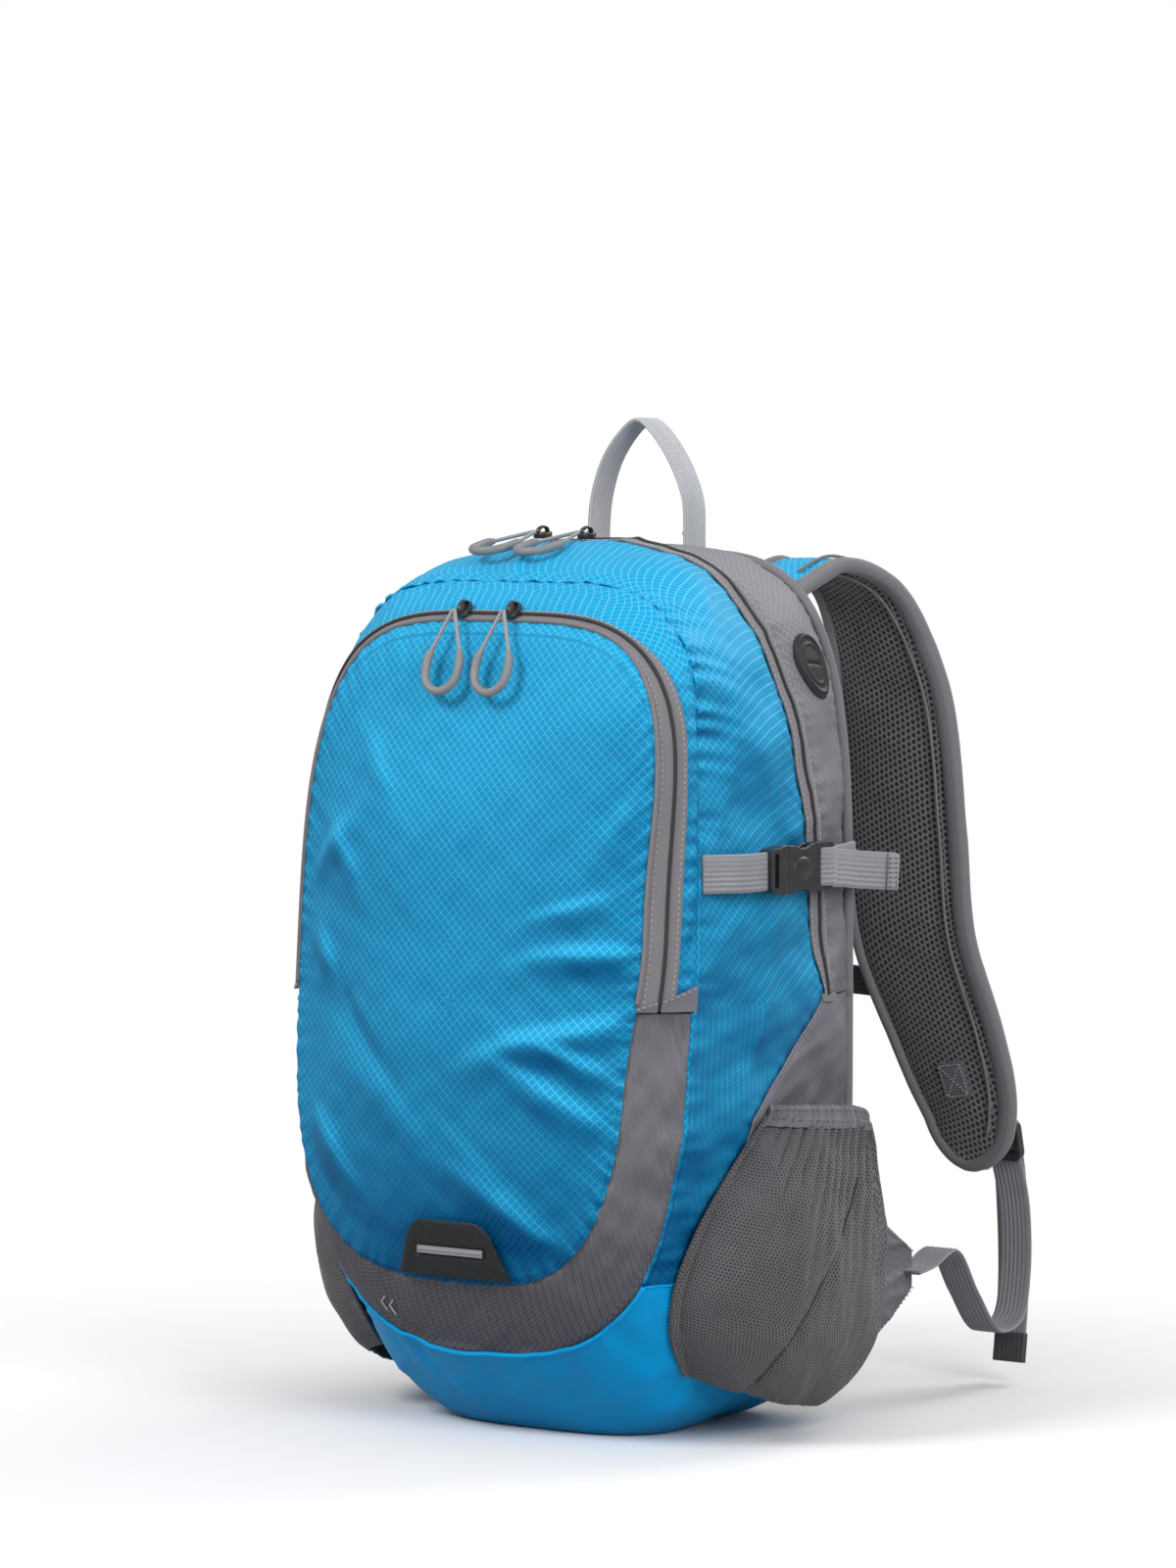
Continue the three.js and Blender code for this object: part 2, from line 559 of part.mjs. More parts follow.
function addCompressionStraps() {
  const up = new THREE.Vector3(0, 0, 1);
  const half = WEBBING / 2;
  for (const [name, side] of SIDES) {
    const shellX = (station) => {
      const angle = Math.asin(clamp01((STRAP_Z - ZIP_END_Z) / 238)) * 0.9;
      return shell(angle, station).x;
    };
    const { x, plugY0, rearY } = BUCKLE;
    const stub = [[(shellX(0.98) + 2.2), -62, STRAP_Z], [x - 3, -48, STRAP_Z], [x, -36, STRAP_Z], [x, plugY0 - GAP, STRAP_Z]];
    add(`compression_stub_${name}`, strap(stub.map(([a, b, c]) => [a * side, b, c]), [2 * half, 2 * half], 1.8, up),
      MATERIAL.greyWebbing);
    add(`compression_plug_${name}`, plugSolid(side), MATERIAL.blackPlastic);
    add(`compression_socket_${name}`, socketSolid(side), MATERIAL.blackPlastic);
    const rear = [[x, rearY + GAP, STRAP_Z], [x - 5, 55, STRAP_Z], [126, 76, STRAP_Z], [124, 107, STRAP_Z]];
    add(`compression_webbing_${name}`, strap(rear.map(([a, b, c]) => [a * side, b, c]), [2 * half, 2 * half], 1.8, up),
      MATERIAL.greyWebbing);
  }
}

// ---------------------------------------------------------------- shoulder harness
const PAD_PATH = [[66, PAD.anchorY, PAD.anchorZ], [72, 116, 454], [80, 146, 440], [87, 168, 390], [91, 175, 310],
  [95, 180, 250], [108, 194, 195], [115, 205, 155], [114, 211, 124]];
const PAD_WIDTHS = [40, 56, 68, 73, 74, 72, 69, 62, 36];
const LADDER_LOCK = { x: 122, y: 226, z: 137, tilt: 0.25 };

function addHarness() {
  const across = new THREE.Vector3(1, 0, 0);
  for (const [name, side] of SIDES) {
    const flip = (path) => path.map(([x, y, z]) => [x * side, y, z]);
    add(`shoulder_pad_${name}`, strap(flip(PAD_PATH), PAD_WIDTHS, PAD.thick, across), MATERIAL.spacerMesh);
    add(`ladder_lock_${name}`, ladderLock(side), MATERIAL.blackPlastic);
    const lower = [[123, 232, 124], [125, 237, 100], [125, 238, 60], [125, 230, 37], [123, 212, 33], [121, 192, 56],
      [123, 168, 82], [128, 139, 77]];
    add(`lower_webbing_${name}`, strap(flip(lower), [WEBBING, WEBBING], 1.8, across), MATERIAL.greyWebbing);
    add(`strap_wing_${name}`, strapWing(side), MATERIAL.greyRipstop);
    const sternumEnd = name === 'right' ? 16 : 22;
    const sternum = [[88, 195, STERNUM.z], [66, 193.5, STERNUM.z - 1], [44, 191, STERNUM.z - 2],
      [sternumEnd + GAP, STERNUM.y, STERNUM.z - 2]];
    add(`sternum_webbing_${name}`, strap(flip(sternum), [16, 16], 1.6, new THREE.Vector3(0, 0, 1)),
      MATERIAL.greyWebbing);
  }
}

function ladderLock(side) {
  const frame = box(-14, 14, -3, 3, -12, 12);
  const slots = [-5, 4].map((z) => box(-10.5, 10.5, -4, 4, z - 2, z + 2));
  const geometry = fromManifold(cut(toManifold(frame), ...slots));
  const { x, y, z, tilt } = LADDER_LOCK;
  return geometry.rotateX(tilt).translate(side * x, y, z);
}

function strapWing(side) {
  const outline = new THREE.Shape([new THREE.Vector2(86, 30), new THREE.Vector2(104, 38),
    new THREE.Vector2(130, 66), new THREE.Vector2(130, 86), new THREE.Vector2(104, 110), new THREE.Vector2(86, 118)]);
  const thick = 3;
  const geometry = new THREE.ExtrudeGeometry(outline, { depth: thick, bevelEnabled: false, steps: 1 });
  geometry.applyMatrix4(new THREE.Matrix4().set(0, 0, 1, 0, 1, 0, 0, 0, 0, 1, 0, 0, 0, 0, 0, 1));
  geometry.rotateZ(-0.1);
  geometry.translate(120 - 8, 2, 0);
  const solid = toSolid(geometry);
  if (side > 0) return solid;
  solid.scale(-1, 1, 1);
  return solidFrom(Array.from(solid.attributes.position.array), Array.from(solid.index.array));
}

function addSternumBuckle() {
  const { z, y } = STERNUM;
  const height = z - 2;
  const outer = box(-2, 16, y - 3, y + 3, height - 9, height + 9);
  const cavity = box(-3, 10, y - 1.4, y + 1.4, height - 7, height + 7);
  add('sternum_socket', fromManifold(cut(toManifold(outer), cavity)), MATERIAL.blackPlastic);
  const shoulder = box(-22, -2 - GAP, y - 3, y + 3, height - 9, height + 9);
  const tongues = [-4.5, 4.5].map((k) => box(-4, 8, y - 0.9, y + 0.9, height + k - 1.6, height + k + 1.6));
  add('sternum_plug', fromManifold(join(shoulder, ...tongues)), MATERIAL.blackPlastic);
}

// ---------------------------------------------------------------- zip sliders and pulls
const POCKET_SLIDERS = { y: -71, z: 433, tilt: 0.78, x: { right: 10, left: -22 } };
const MAIN_SLIDERS = { y: 16, z: 471.6, tilt: 0.1, x: { right: -6, left: -35 } };

function sliderSolid() {
  const body = box(-4, 4, -5.5, 5.5, -1.4, 1.4);
  const bridge = box(-1.6, 1.6, -4.5, 4.5, 1, 4.2);
  const eye = box(-3, 3, -2.6, 2.6, 1.3, 2.9);
  return fromManifold(cut(join(body, bridge), eye));
}

/** A cord loop that hangs from a slider and ends in a thicker grip, along its own -Y axis. */
function pullSolid(length) {
  const loop = new THREE.CatmullRomCurve3([[-1.3, 0, 0], [-6, -13, 0], [-11, -28, 0], [-8, -length + 4, 0],
    [0, -length, 0], [8, -length + 4, 0], [11, -28, 0], [6, -13, 0], [1.3, 0, 0]]
    .map((p) => new THREE.Vector3(...p)));
  const section = new THREE.Shape(new THREE.EllipseCurve(0, 0, 1.1, 1.1).getPoints(6).slice(0, 6));
  return toSolid(new THREE.ExtrudeGeometry(section, { steps: 26, extrudePath: loop, bevelEnabled: false }));
}

function addZipFittings() {
  for (const [name] of SIDES) {
    const pocket = POCKET_SLIDERS;
    const main = MAIN_SLIDERS;
    add(`pocket_slider_${name}`, sliderSolid().rotateX(pocket.tilt).translate(pocket.x[name], pocket.y, pocket.z),
      MATERIAL.sliderMetal);
    add(`pocket_pull_${name}`, pullSolid(43).rotateX(1.25).translate(pocket.x[name], pocket.y - 9.5, pocket.z - 1),
      MATERIAL.pullCord);
    add(`main_slider_${name}`, sliderSolid().rotateX(main.tilt).translate(main.x[name], main.y, main.z),
      MATERIAL.sliderMetal);
    add(`main_pull_${name}`, pullSolid(43).rotateX(0.24).translate(main.x[name], main.y - 9.5, main.z + 2),
      MATERIAL.pullCord);
  }
}

addUpperShell();
addLowerShell();
addBack();
addFrontPocket();
addDivider();
addSidePockets();
addCablePort();
addLightTab();
addHaulLoop();
addCompressionStraps();
addHarness();
addSternumBuckle();
addZipFittings();

export default daypack;
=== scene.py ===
"""Daypack: the looks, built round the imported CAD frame.

Lengths are millimetres; a mesh is scaled to metres when it is made, and the frame's calls, the lights and the camera
take metres. The shell and the front pocket follow the same outlines as the CAD: an angle runs round the bag (0 is the
right side at the height of the zip ends, a quarter turn is the top) and a station runs from the rear seam (0) past
the main zip to the front seam (1). In a side's sign, 1 is the right and -1 the left.
"""
import math

import bmesh
import bpy
import numpy as np
from mathutils import Matrix, Vector


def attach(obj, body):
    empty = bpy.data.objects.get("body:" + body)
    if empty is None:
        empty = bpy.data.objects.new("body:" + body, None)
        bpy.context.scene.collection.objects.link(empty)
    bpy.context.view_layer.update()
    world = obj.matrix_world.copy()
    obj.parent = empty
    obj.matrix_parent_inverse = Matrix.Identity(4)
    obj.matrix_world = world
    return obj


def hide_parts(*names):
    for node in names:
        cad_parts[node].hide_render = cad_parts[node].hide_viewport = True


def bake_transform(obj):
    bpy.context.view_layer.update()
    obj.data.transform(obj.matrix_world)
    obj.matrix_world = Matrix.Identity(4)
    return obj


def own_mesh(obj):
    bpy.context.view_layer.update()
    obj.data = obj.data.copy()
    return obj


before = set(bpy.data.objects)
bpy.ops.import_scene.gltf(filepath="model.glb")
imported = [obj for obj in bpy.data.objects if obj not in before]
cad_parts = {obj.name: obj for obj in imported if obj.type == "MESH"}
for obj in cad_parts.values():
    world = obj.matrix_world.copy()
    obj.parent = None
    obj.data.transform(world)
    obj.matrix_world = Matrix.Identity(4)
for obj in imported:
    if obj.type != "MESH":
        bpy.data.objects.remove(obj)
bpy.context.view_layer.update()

MM = 0.001
PI = math.pi
RIGHTWARD = np.array([1.0, 0, 0])
REARWARD = np.array([0.0, 1, 0])
UPWARD = np.array([0.0, 0, 1])

# ------------------------------------------------------------------ driving dimensions, as in the CAD
ZIP_END_Z = 230.0
REAR_SEAM_Y = 78.0
HINGE_Y = 42.0
SHELL_ZIP = 0.4
SHELL = {
    "half_width": [(0, 119), (0.15, 125), (0.4, 129), (0.7, 130), (1, 123)],
    "top": [(0, 460), (0.15, 466), (0.4, 468), (0.7, 465), (1, 450)],
    "bottom": [(0, 5), (0.1, -2), (0.4, -3), (0.75, -3), (1, 46)],
    "top_round": [(0, 3.9), (0.4, 3.05), (1, 4.4)],
    "bottom_round": [(0, 4.0), (0.4, 3.6), (1, 3.0)],
}
FACE = {"half_width": 118, "top": 422, "bottom": 86, "top_round": 3.9, "bottom_round": 3.2,
        "taper": 0.06, "bulge": 22}
BASE_SEAM_Z = 88.0
ZIP_LEAN, ZIP_LEAN_HEIGHT = 24, 238
FRONT_SEAM_FOOT_Y, FRONT_SEAM_LEAN, FRONT_SEAM_HEIGHT = -88, 40, 450
FACE_SEAM_Y = -90           # the face's edge at the height of the zip ends
FACE_EDGE_LEAN = 14         # how far it leans back at its top and forward at its foot
FLOOR_CLEARANCE = 0.4
WALL_CROWN = 2.6
SHELL_CENTRE = np.array([0.0, 0.0, ZIP_END_Z])
SIDES = (("right", 1.0), ("left", -1.0))
WEBBING = 20.0


# ------------------------------------------------------------------ outlines and surfaces
def smooth_step(t):
    t = np.clip(t, 0, 1)
    return t * t * (3 - 2 * t)


def hermite(t, span, start, start_slope, end, end_slope):
    """A smooth curve between two values with given slopes, at t from 0 to 1."""
    return ((2 * t**3 - 3 * t**2 + 1) * start + (t**3 - 2 * t**2 + t) * span * start_slope
            + (3 * t**2 - 2 * t**3) * end + (t**3 - t**2) * span * end_slope)


def at_station(table, station):
    """Smooth values of a [station, value] table."""
    xs = np.array([row[0] for row in table], float)
    ys = np.array([row[1] for row in table], float)
    slopes = np.empty_like(xs)
    slopes[0] = (ys[1] - ys[0]) / (xs[1] - xs[0])
    slopes[-1] = (ys[-1] - ys[-2]) / (xs[-1] - xs[-2])
    slopes[1:-1] = (ys[2:] - ys[:-2]) / (xs[2:] - xs[:-2])
    s = np.clip(station, xs[0], xs[-1])
    i = np.clip(np.searchsorted(xs, s, side="right") - 1, 0, len(xs) - 2)
    h = xs[i + 1] - xs[i]
    return hermite((s - xs[i]) / h, h, ys[i], slopes[i], ys[i + 1], slopes[i + 1])


def arch(angle, half_width, top, bottom, top_round, bottom_round):
    """Half width and height of a rounded outline; a higher round is squarer."""
    c, s = np.cos(angle), np.sin(angle)
    power = np.where(s > 0, top_round, bottom_round)
    k = (np.abs(c) ** power + np.abs(s) ** power) ** (1 / power)
    height = np.where(s > 0, top - ZIP_END_Z, ZIP_END_Z - bottom)
    return half_width * c / k, ZIP_END_Z + height * s / k


def zip_y(z):
    """Depth of the main zip, which leans forward towards the top."""
    return HINGE_Y - ZIP_LEAN * np.clip((z - ZIP_END_Z) / ZIP_LEAN_HEIGHT, 0, 1) ** 1.4


def front_seam_y(z):
    """Depth of the seam between the shell and the front pocket."""
    return FRONT_SEAM_FOOT_Y + FRONT_SEAM_LEAN * np.clip(z / FRONT_SEAM_HEIGHT, 0, 1)


def shell(angle, station):
    """Points of the bag's shell."""
    angle, station = np.broadcast_arrays(np.asarray(angle, float), np.asarray(station, float))
    x, z = arch(angle, *(at_station(table, station) for table in SHELL.values()))
    z = np.maximum(z, FLOOR_CLEARANCE)
    rear = REAR_SEAM_Y + (zip_y(z) - REAR_SEAM_Y) * station / SHELL_ZIP
    front = zip_y(z) + (front_seam_y(z) - zip_y(z)) * (station - SHELL_ZIP) / (1 - SHELL_ZIP)
    return np.stack([x, np.where(station < SHELL_ZIP, rear, front), z], -1)


def face_narrowing(x, z):
    """The pocket leans left: its right edge draws in below the top corner, its left edge only near the foot."""
    right = 1 - 0.11 * smooth_step((400 - z) / 120) - 0.075 * smooth_step((265 - z) / 75)
    return np.where(x > 0, right, 1 - FACE["taper"] * np.clip((ZIP_END_Z - z) / 150, 0, 1))


def face_outline(angle):
    x, z = arch(angle, FACE["half_width"], FACE["top"], FACE["bottom"], FACE["top_round"], FACE["bottom_round"])
    return x * face_narrowing(x, z), z


def face_ratio(x, z):
    """0 at the middle of the pocket's face, 1 at its edge."""
    up = z > ZIP_END_Z
    height = np.where(up, FACE["top"] - ZIP_END_Z, ZIP_END_Z - FACE["bottom"])
    power = np.where(up, FACE["top_round"], FACE["bottom_round"])
    half_width = FACE["half_width"] * np.where(x > 0, face_narrowing(x, z), 1)
    return (np.abs(x / half_width) ** power + np.abs((z - ZIP_END_Z) / height) ** power) ** (1 / power)


def face_y(x, z):
    """Depth of the pocket's face, which bulges towards its middle."""
    up = z > ZIP_END_Z
    above = FACE_SEAM_Y + FACE_EDGE_LEAN * np.clip((z - ZIP_END_Z) / 190, 0, 1)
    below = FACE_SEAM_Y - FACE_EDGE_LEAN * np.clip((ZIP_END_Z - z) / 144, 0, 1)
    edge = np.where(up, above, below)
    return edge - FACE["bulge"] * (1 - np.minimum(1, face_ratio(x, z)) ** 2.5)


def wall(angle, t):
    """The pocket's side wall from the front seam (0) to the face's edge (1), slightly crowned."""
    angle, t = np.broadcast_arrays(np.asarray(angle, float), np.asarray(t, float))
    x, z = face_outline(angle)
    edge = np.stack([x, face_y(x, z), z], -1)
    seam = shell(angle, np.ones_like(angle))
    points = seam + (edge - seam) * t[..., None]
    crown = WALL_CROWN * np.sin(PI * t)
    return points + crown[..., None] * np.stack([np.cos(angle), np.zeros_like(t), np.sin(angle)], -1)


def angle_at_height(curve, height):
    """Angle in the lower right quarter where curve(angle) drops to a height."""
    above, below = np.zeros_like(height), np.full_like(height, -PI / 2)
    for _ in range(34):
        middle = (above + below) / 2
        high = curve(middle)[..., 2] > height
        above, below = np.where(high, middle, above), np.where(high, below, middle)
    return above


def mirrored(points):
    return points * np.array([-1.0, 1.0, 1.0])


def sided(points, side):
    return points if side > 0 else mirrored(points)


# ------------------------------------------------------------------ relief: folds, puckers and dents
CREASE_SHARPNESS = 2.2


def waves(points, wavelength, seed, stretch=None):
    """Smooth seeded noise between about -1 and 1. stretch=(direction, factor) draws it out along a direction."""
    rng = np.random.default_rng(seed)
    p = np.asarray(points, float)
    count = 9
    if stretch is not None:
        direction = np.array(stretch[0], float)
        direction /= np.linalg.norm(direction)
        p = p - (p @ direction)[..., None] * direction * (1 - 1 / stretch[1])
    total = np.zeros(p.shape[:-1])
    for _ in range(count):
        direction = rng.normal(size=3)
        direction /= np.linalg.norm(direction)
        length = wavelength * rng.uniform(0.7, 1.5)
        total += np.sin((p @ direction) * 2 * PI / length + rng.uniform(0, 2 * PI))
    return total / (count**0.5 * 1.2)


def creases(points, wavelength, seed, stretch=None):
    """Sharp-edged folds: high thin ridges between soft hollows."""
    return (1 - np.minimum(1, np.abs(waves(points, wavelength, seed, stretch)))) ** CREASE_SHARPNESS


def pucker(along, distance, wavelength, reach, seed):
    """Gathers beside a seam: ripples along it that fade with distance from it."""
    rng = np.random.default_rng(seed)
    phase = sum(rng.uniform(0.5, 1.0) * np.sin(along * 2 * PI / (wavelength * f) + rng.uniform(0, 6))
                for f in (2.3, 3.7, 6.1))
    return np.sin(along * 2 * PI / wavelength + 1.6 * phase) * np.exp(-np.abs(distance) / reach)


def normals_of(points):
    """Normals of a grid of points, on the side that looks away from the middle of the bag."""
    du = np.gradient(points, axis=0)
    dv = np.gradient(points, axis=1)
    n = np.cross(du, dv)
    n /= np.maximum(np.linalg.norm(n, axis=-1, keepdims=True), 1e-9)
    outward = np.sum(n * (points - SHELL_CENTRE), -1).mean()
    return n if outward > 0 else -n


def raised(points, amount):
    return points + normals_of(points) * np.asarray(amount)[..., None]


def lengths(points, axis):
    """Distance run along one axis of a grid, in millimetres."""
    steps = np.linalg.norm(np.diff(points, axis=axis), axis=-1)
    zero = np.zeros_like(np.take(steps, [0], axis=axis))
    return np.concatenate([zero, np.cumsum(steps, axis=axis)], axis=axis)


def grid_uv(points):
    return np.stack([lengths(points, 0), lengths(points, 1)], -1)


def run_along(path, power=1):
    """Distance run along a path; a power of a half evens out the knots of a smooth curve."""
    return np.concatenate([[0], np.cumsum(np.linalg.norm(np.diff(path, axis=0), axis=1) ** power)])


def read_off(at, given, vectors):
    """Vectors given at some places, read off at others."""
    return np.stack([np.interp(at, given, vectors[:, k]) for k in range(3)], -1)


def spread_over(count, vectors):
    """Vectors spread evenly over a number of places, or one vector repeated."""
    vectors = np.asarray(vectors, float)
    if vectors.ndim == 1:
        return np.broadcast_to(vectors, (count, 3)).copy()
    return read_off(np.linspace(0, 1, count), np.linspace(0, 1, len(vectors)), vectors)


# ------------------------------------------------------------------ mesh makers
EDGE_SPLIT_DEGREES, BEVEL_DEGREES, BEVEL_SEGMENTS = 58, 40, 3
RIB_DEPTH = 0.16


def link_object(name, data):
    obj = bpy.data.objects.new(name, data)
    bpy.context.scene.collection.objects.link(obj)
    return obj


def link_mesh(name, verts, faces, uvs, material):
    mesh = bpy.data.meshes.new(name)
    mesh.from_pydata((np.asarray(verts) * MM).tolist(), [], faces)
    if uvs is not None:
        layer = mesh.uv_layers.new(name="UVMap")
        index = np.empty(len(mesh.loops), np.int32)
        mesh.loops.foreach_get("vertex_index", index)
        layer.data.foreach_set("uv", np.asarray(uvs, np.float32)[index].ravel())
    mesh.polygons.foreach_set("use_smooth", np.ones(len(mesh.polygons), bool))
    mesh.materials.append(material)
    mesh.validate()
    mesh.update()
    return link_object(name, mesh)


def sheet(name, points, material, thick=1.2, uv=None):
    """A fabric sheet from a grid of points, with its outside where normals_of looks, closed by a solidify."""
    nu, nv = points.shape[:2]
    uv = grid_uv(points) if uv is None else uv
    index = np.arange(nu * nv).reshape(nu, nv)
    quads = np.stack([index[:-1, :-1], index[1:, :-1], index[1:, 1:], index[:-1, 1:]], -1).reshape(-1, 4)
    du = points[nu // 2 + 1, nv // 2] - points[nu // 2, nv // 2]
    dv = points[nu // 2, nv // 2 + 1] - points[nu // 2, nv // 2]
    if np.dot(np.cross(du, dv), normals_of(points)[nu // 2, nv // 2]) < 0:
        quads = quads[:, ::-1]
    obj = link_mesh(name, points.reshape(-1, 3), quads.tolist(), uv.reshape(-1, 2), material)
    solidify = obj.modifiers.new("thickness", "SOLIDIFY")
    solidify.thickness = thick * MM
    solidify.offset = -1
    solidify.use_even_offset = False
    rims = obj.modifiers.new("rims", "EDGE_SPLIT")
    rims.split_angle = math.radians(EDGE_SPLIT_DEGREES)
    return obj


def resample(path, step, smooth=True):
    """Even points along a smooth curve through path."""
    path = np.asarray(path, float)
    if smooth and len(path) > 2:
        knots = run_along(path, 0.5)
        tangents = np.gradient(path, knots, axis=0)
        t = np.linspace(0, 1, 24, endpoint=False)[:, None]
        fine = [hermite(t, knots[i + 1] - knots[i], path[i], tangents[i], path[i + 1], tangents[i + 1])
                for i in range(len(path) - 1)]
        path = np.concatenate(fine + [path[-1:]])
    run = run_along(path)
    count = max(3, int(run[-1] / step) + 1)
    return read_off(np.linspace(0, run[-1], count), run, path)


def frames_along(path, across=None, closed=False):
    """Tangent, side and normal along a path. across gives the side direction, one or one per point."""
    if closed:
        tangent = np.roll(path, -1, 0) - np.roll(path, 1, 0)
    else:
        tangent = np.gradient(path, axis=0)
    tangent /= np.linalg.norm(tangent, axis=1, keepdims=True)
    if across is None:
        side = np.zeros_like(tangent)
        start = UPWARD if abs(tangent[0, 2]) < 0.9 else RIGHTWARD
        side[0] = np.cross(start, tangent[0])
        for i in range(len(path)):
            previous = side[i - 1] if i else side[0]
            side[i] = previous - np.dot(previous, tangent[i]) * tangent[i]
            side[i] /= np.linalg.norm(side[i])
    else:
        side = np.broadcast_to(np.asarray(across, float), tangent.shape).copy()
        side -= np.sum(side * tangent, 1, keepdims=True) * tangent
        side /= np.linalg.norm(side, axis=1, keepdims=True)
    return tangent, side, np.cross(tangent, side)


def swept(name, path, section, material, across=None, scale=None, closed=False):
    """A closed section, as (side, normal) points, swept along a path. scale is one factor or one pair per point."""
    _, side, normal = frames_along(path, across, closed)
    n, m = len(path), len(section)
    section = np.asarray(section, float)
    factor = np.ones((n, 2)) if scale is None else np.asarray(scale, float).reshape(n, -1) * np.ones((1, 2))
    ring = (path[:, None] + side[:, None] * (section[None, :, 0, None] * factor[:, None, :1])
            + normal[:, None] * (section[None, :, 1, None] * factor[:, None, 1:]))
    uvs = np.stack(np.broadcast_arrays(run_along(path)[:, None], run_along(section)[None]), -1).reshape(-1, 2)
    faces = []
    for i in range(n if closed else n - 1):
        a, b = i * m, ((i + 1) % n) * m
        for j in range(m):
            k = (j + 1) % m
            faces.append((a + j, b + j, b + k, a + k))
    if not closed:
        faces.append(tuple(range(m)))
        faces.append(tuple(range((n - 1) * m, n * m))[::-1])
    obj = link_mesh(name, ring.reshape(-1, 3), faces, uvs, material)
    fix_normals(obj)
    return obj


def fix_normals(obj):
    bm = bmesh.new()
    bm.from_mesh(obj.data)
    bmesh.ops.recalc_face_normals(bm, faces=bm.faces)
    bm.to_mesh(obj.data)
    bm.free()


def circle(radius, count):
    angle = np.arange(count) * 2 * PI / count
    return np.stack([np.cos(angle), np.sin(angle)], -1) * radius


def tube(name, path, radius, material, closed=False, scale=None, count=12):
    return swept(name, np.asarray(path, float), circle(radius, count), material, closed=closed, scale=scale)


def webbing_section(width, thick, ribs):
    """Flat webbing with rounded edges and lengthwise ribs."""
    across = np.linspace(-0.5, 0.5, ribs * 4 + 1)
    edge = np.sqrt(np.clip(1 - (np.abs(across) * 2) ** 10, 0.12, 1))
    relief = RIB_DEPTH * np.cos(across * ribs * 2 * PI)
    top = np.stack([across * width, edge * thick / 2 + relief], -1)
    bottom = np.stack([across[::-1] * width, -edge[::-1] * thick / 2 - relief[::-1]], -1)
    return np.concatenate([top, bottom])


def webbing(name, path, across, material, thick, step, width=WEBBING, ribs=7):
    """A strap along a path, with its width along across."""
    points = resample(path, step)
    return swept(name, points, webbing_section(width, thick, ribs), material, across=across)


STITCH_POINTS = (            # one stitch, as parts of its length, width and height
    (-0.5, 0, -0.3), (-0.3, 0.5, 0.55), (-0.3, -0.5, 0.55), (0.3, 0.5, 0.55), (0.3, -0.5, 0.55),
    (0.5, 0, -0.3), (-0.3, 0.5, -0.3), (-0.3, -0.5, -0.3), (0.3, 0.5, -0.3), (0.3, -0.5, -0.3),
)
STITCH_FACES = ((1, 2, 4, 3), (6, 1, 3, 8), (2, 7, 9, 4), (7, 6, 8, 9), (0, 2, 1), (0, 1, 6), (0, 6, 7),
                (0, 7, 2), (5, 3, 4), (5, 8, 3), (5, 9, 8), (5, 4, 9))


def stitches(name, path, normal, material, pitch=3.2, length=2.1, width=0.55, height=0.4):
    """A row of sewn stitches along a path lying on a surface with the given normals."""
    points = resample(path, pitch, smooth=False)
    tangent = np.gradient(points, axis=0)
    tangent /= np.linalg.norm(tangent, axis=1, keepdims=True)
    n = spread_over(len(points), normal)
    n -= np.sum(n * tangent, 1, keepdims=True) * tangent
    n /= np.maximum(np.linalg.norm(n, axis=1, keepdims=True), 1e-9)
    side = np.cross(tangent, n)
    verts, faces = [], []
    for i in range(len(points) - 1):
        base = len(verts)
        middle = (points[i] + points[i + 1]) / 2
        for a, b, c in STITCH_POINTS:
            verts.append(middle + tangent[i] * a * length + side[i] * b * width + n[i] * c * height)
        faces.extend(tuple(base + k for k in face) for face in STITCH_FACES)
    obj = link_mesh(name, np.array(verts), faces, None, material)
    fix_normals(obj)
    return obj


def rounded_solid(name, outline, depth, material, bevel, transform, holes=()):
    """An outline of (a, b) points in its own plane, extruded both ways, placed by a matrix in mm and bevelled."""
    bm = bmesh.new()
    edges = []
    for loop in (outline, *holes):
        verts = [bm.verts.new((a, b, -depth / 2)) for a, b in loop]
        edges += [bm.edges.new((verts[i], verts[(i + 1) % len(verts)])) for i in range(len(verts))]
    fill = bmesh.ops.triangle_fill(bm, use_beauty=True, use_dissolve=True, edges=edges)
    faces = [g for g in fill["geom"] if isinstance(g, bmesh.types.BMFace)]
    out = bmesh.ops.extrude_face_region(bm, geom=faces)
    moved = [g for g in out["geom"] if isinstance(g, bmesh.types.BMVert)]
    bmesh.ops.translate(bm, verts=moved, vec=(0, 0, depth))
    bmesh.ops.recalc_face_normals(bm, faces=bm.faces)
    bm.transform(transform)
    bm.transform(Matrix.Scale(MM, 4))
    mesh = bpy.data.meshes.new(name)
    bm.to_mesh(mesh)
    bm.free()
    mesh.materials.append(material)
    obj = link_object(name, mesh)
    rim = obj.modifiers.new("bevel", "BEVEL")
    rim.width = bevel * MM
    rim.segments = BEVEL_SEGMENTS
    rim.limit_method = "ANGLE"
    rim.angle_limit = math.radians(BEVEL_DEGREES)
    mesh.polygons.foreach_set("use_smooth", np.ones(len(mesh.polygons), bool))
    obj.modifiers.new("normals", "WEIGHTED_NORMAL").keep_sharp = True
    return obj


def rounded_rectangle(width, height, radius, centre=(0, 0)):
    count = 5
    points = []
    for cx, cy, start in ((1, 1, 0), (-1, 1, 1), (-1, -1, 2), (1, -1, 3)):
        for i in range(count + 1):
            a = (start + i / count) * PI / 2
            points.append((centre[0] + cx * (width / 2 - radius) + radius * math.cos(a),
                           centre[1] + cy * (height / 2 - radius) + radius * math.sin(a)))
    return points


# ------------------------------------------------------------------ materials
RIPSTOP_PITCH, RIPSTOP_LINE = 3.5, 0.9
RIB_PITCH, PICK_PITCH = 2.6, 1.3
TICK_PITCH = 0.9
STRAND_PITCH, STRAND_WIDTH = 1.2, 1.0


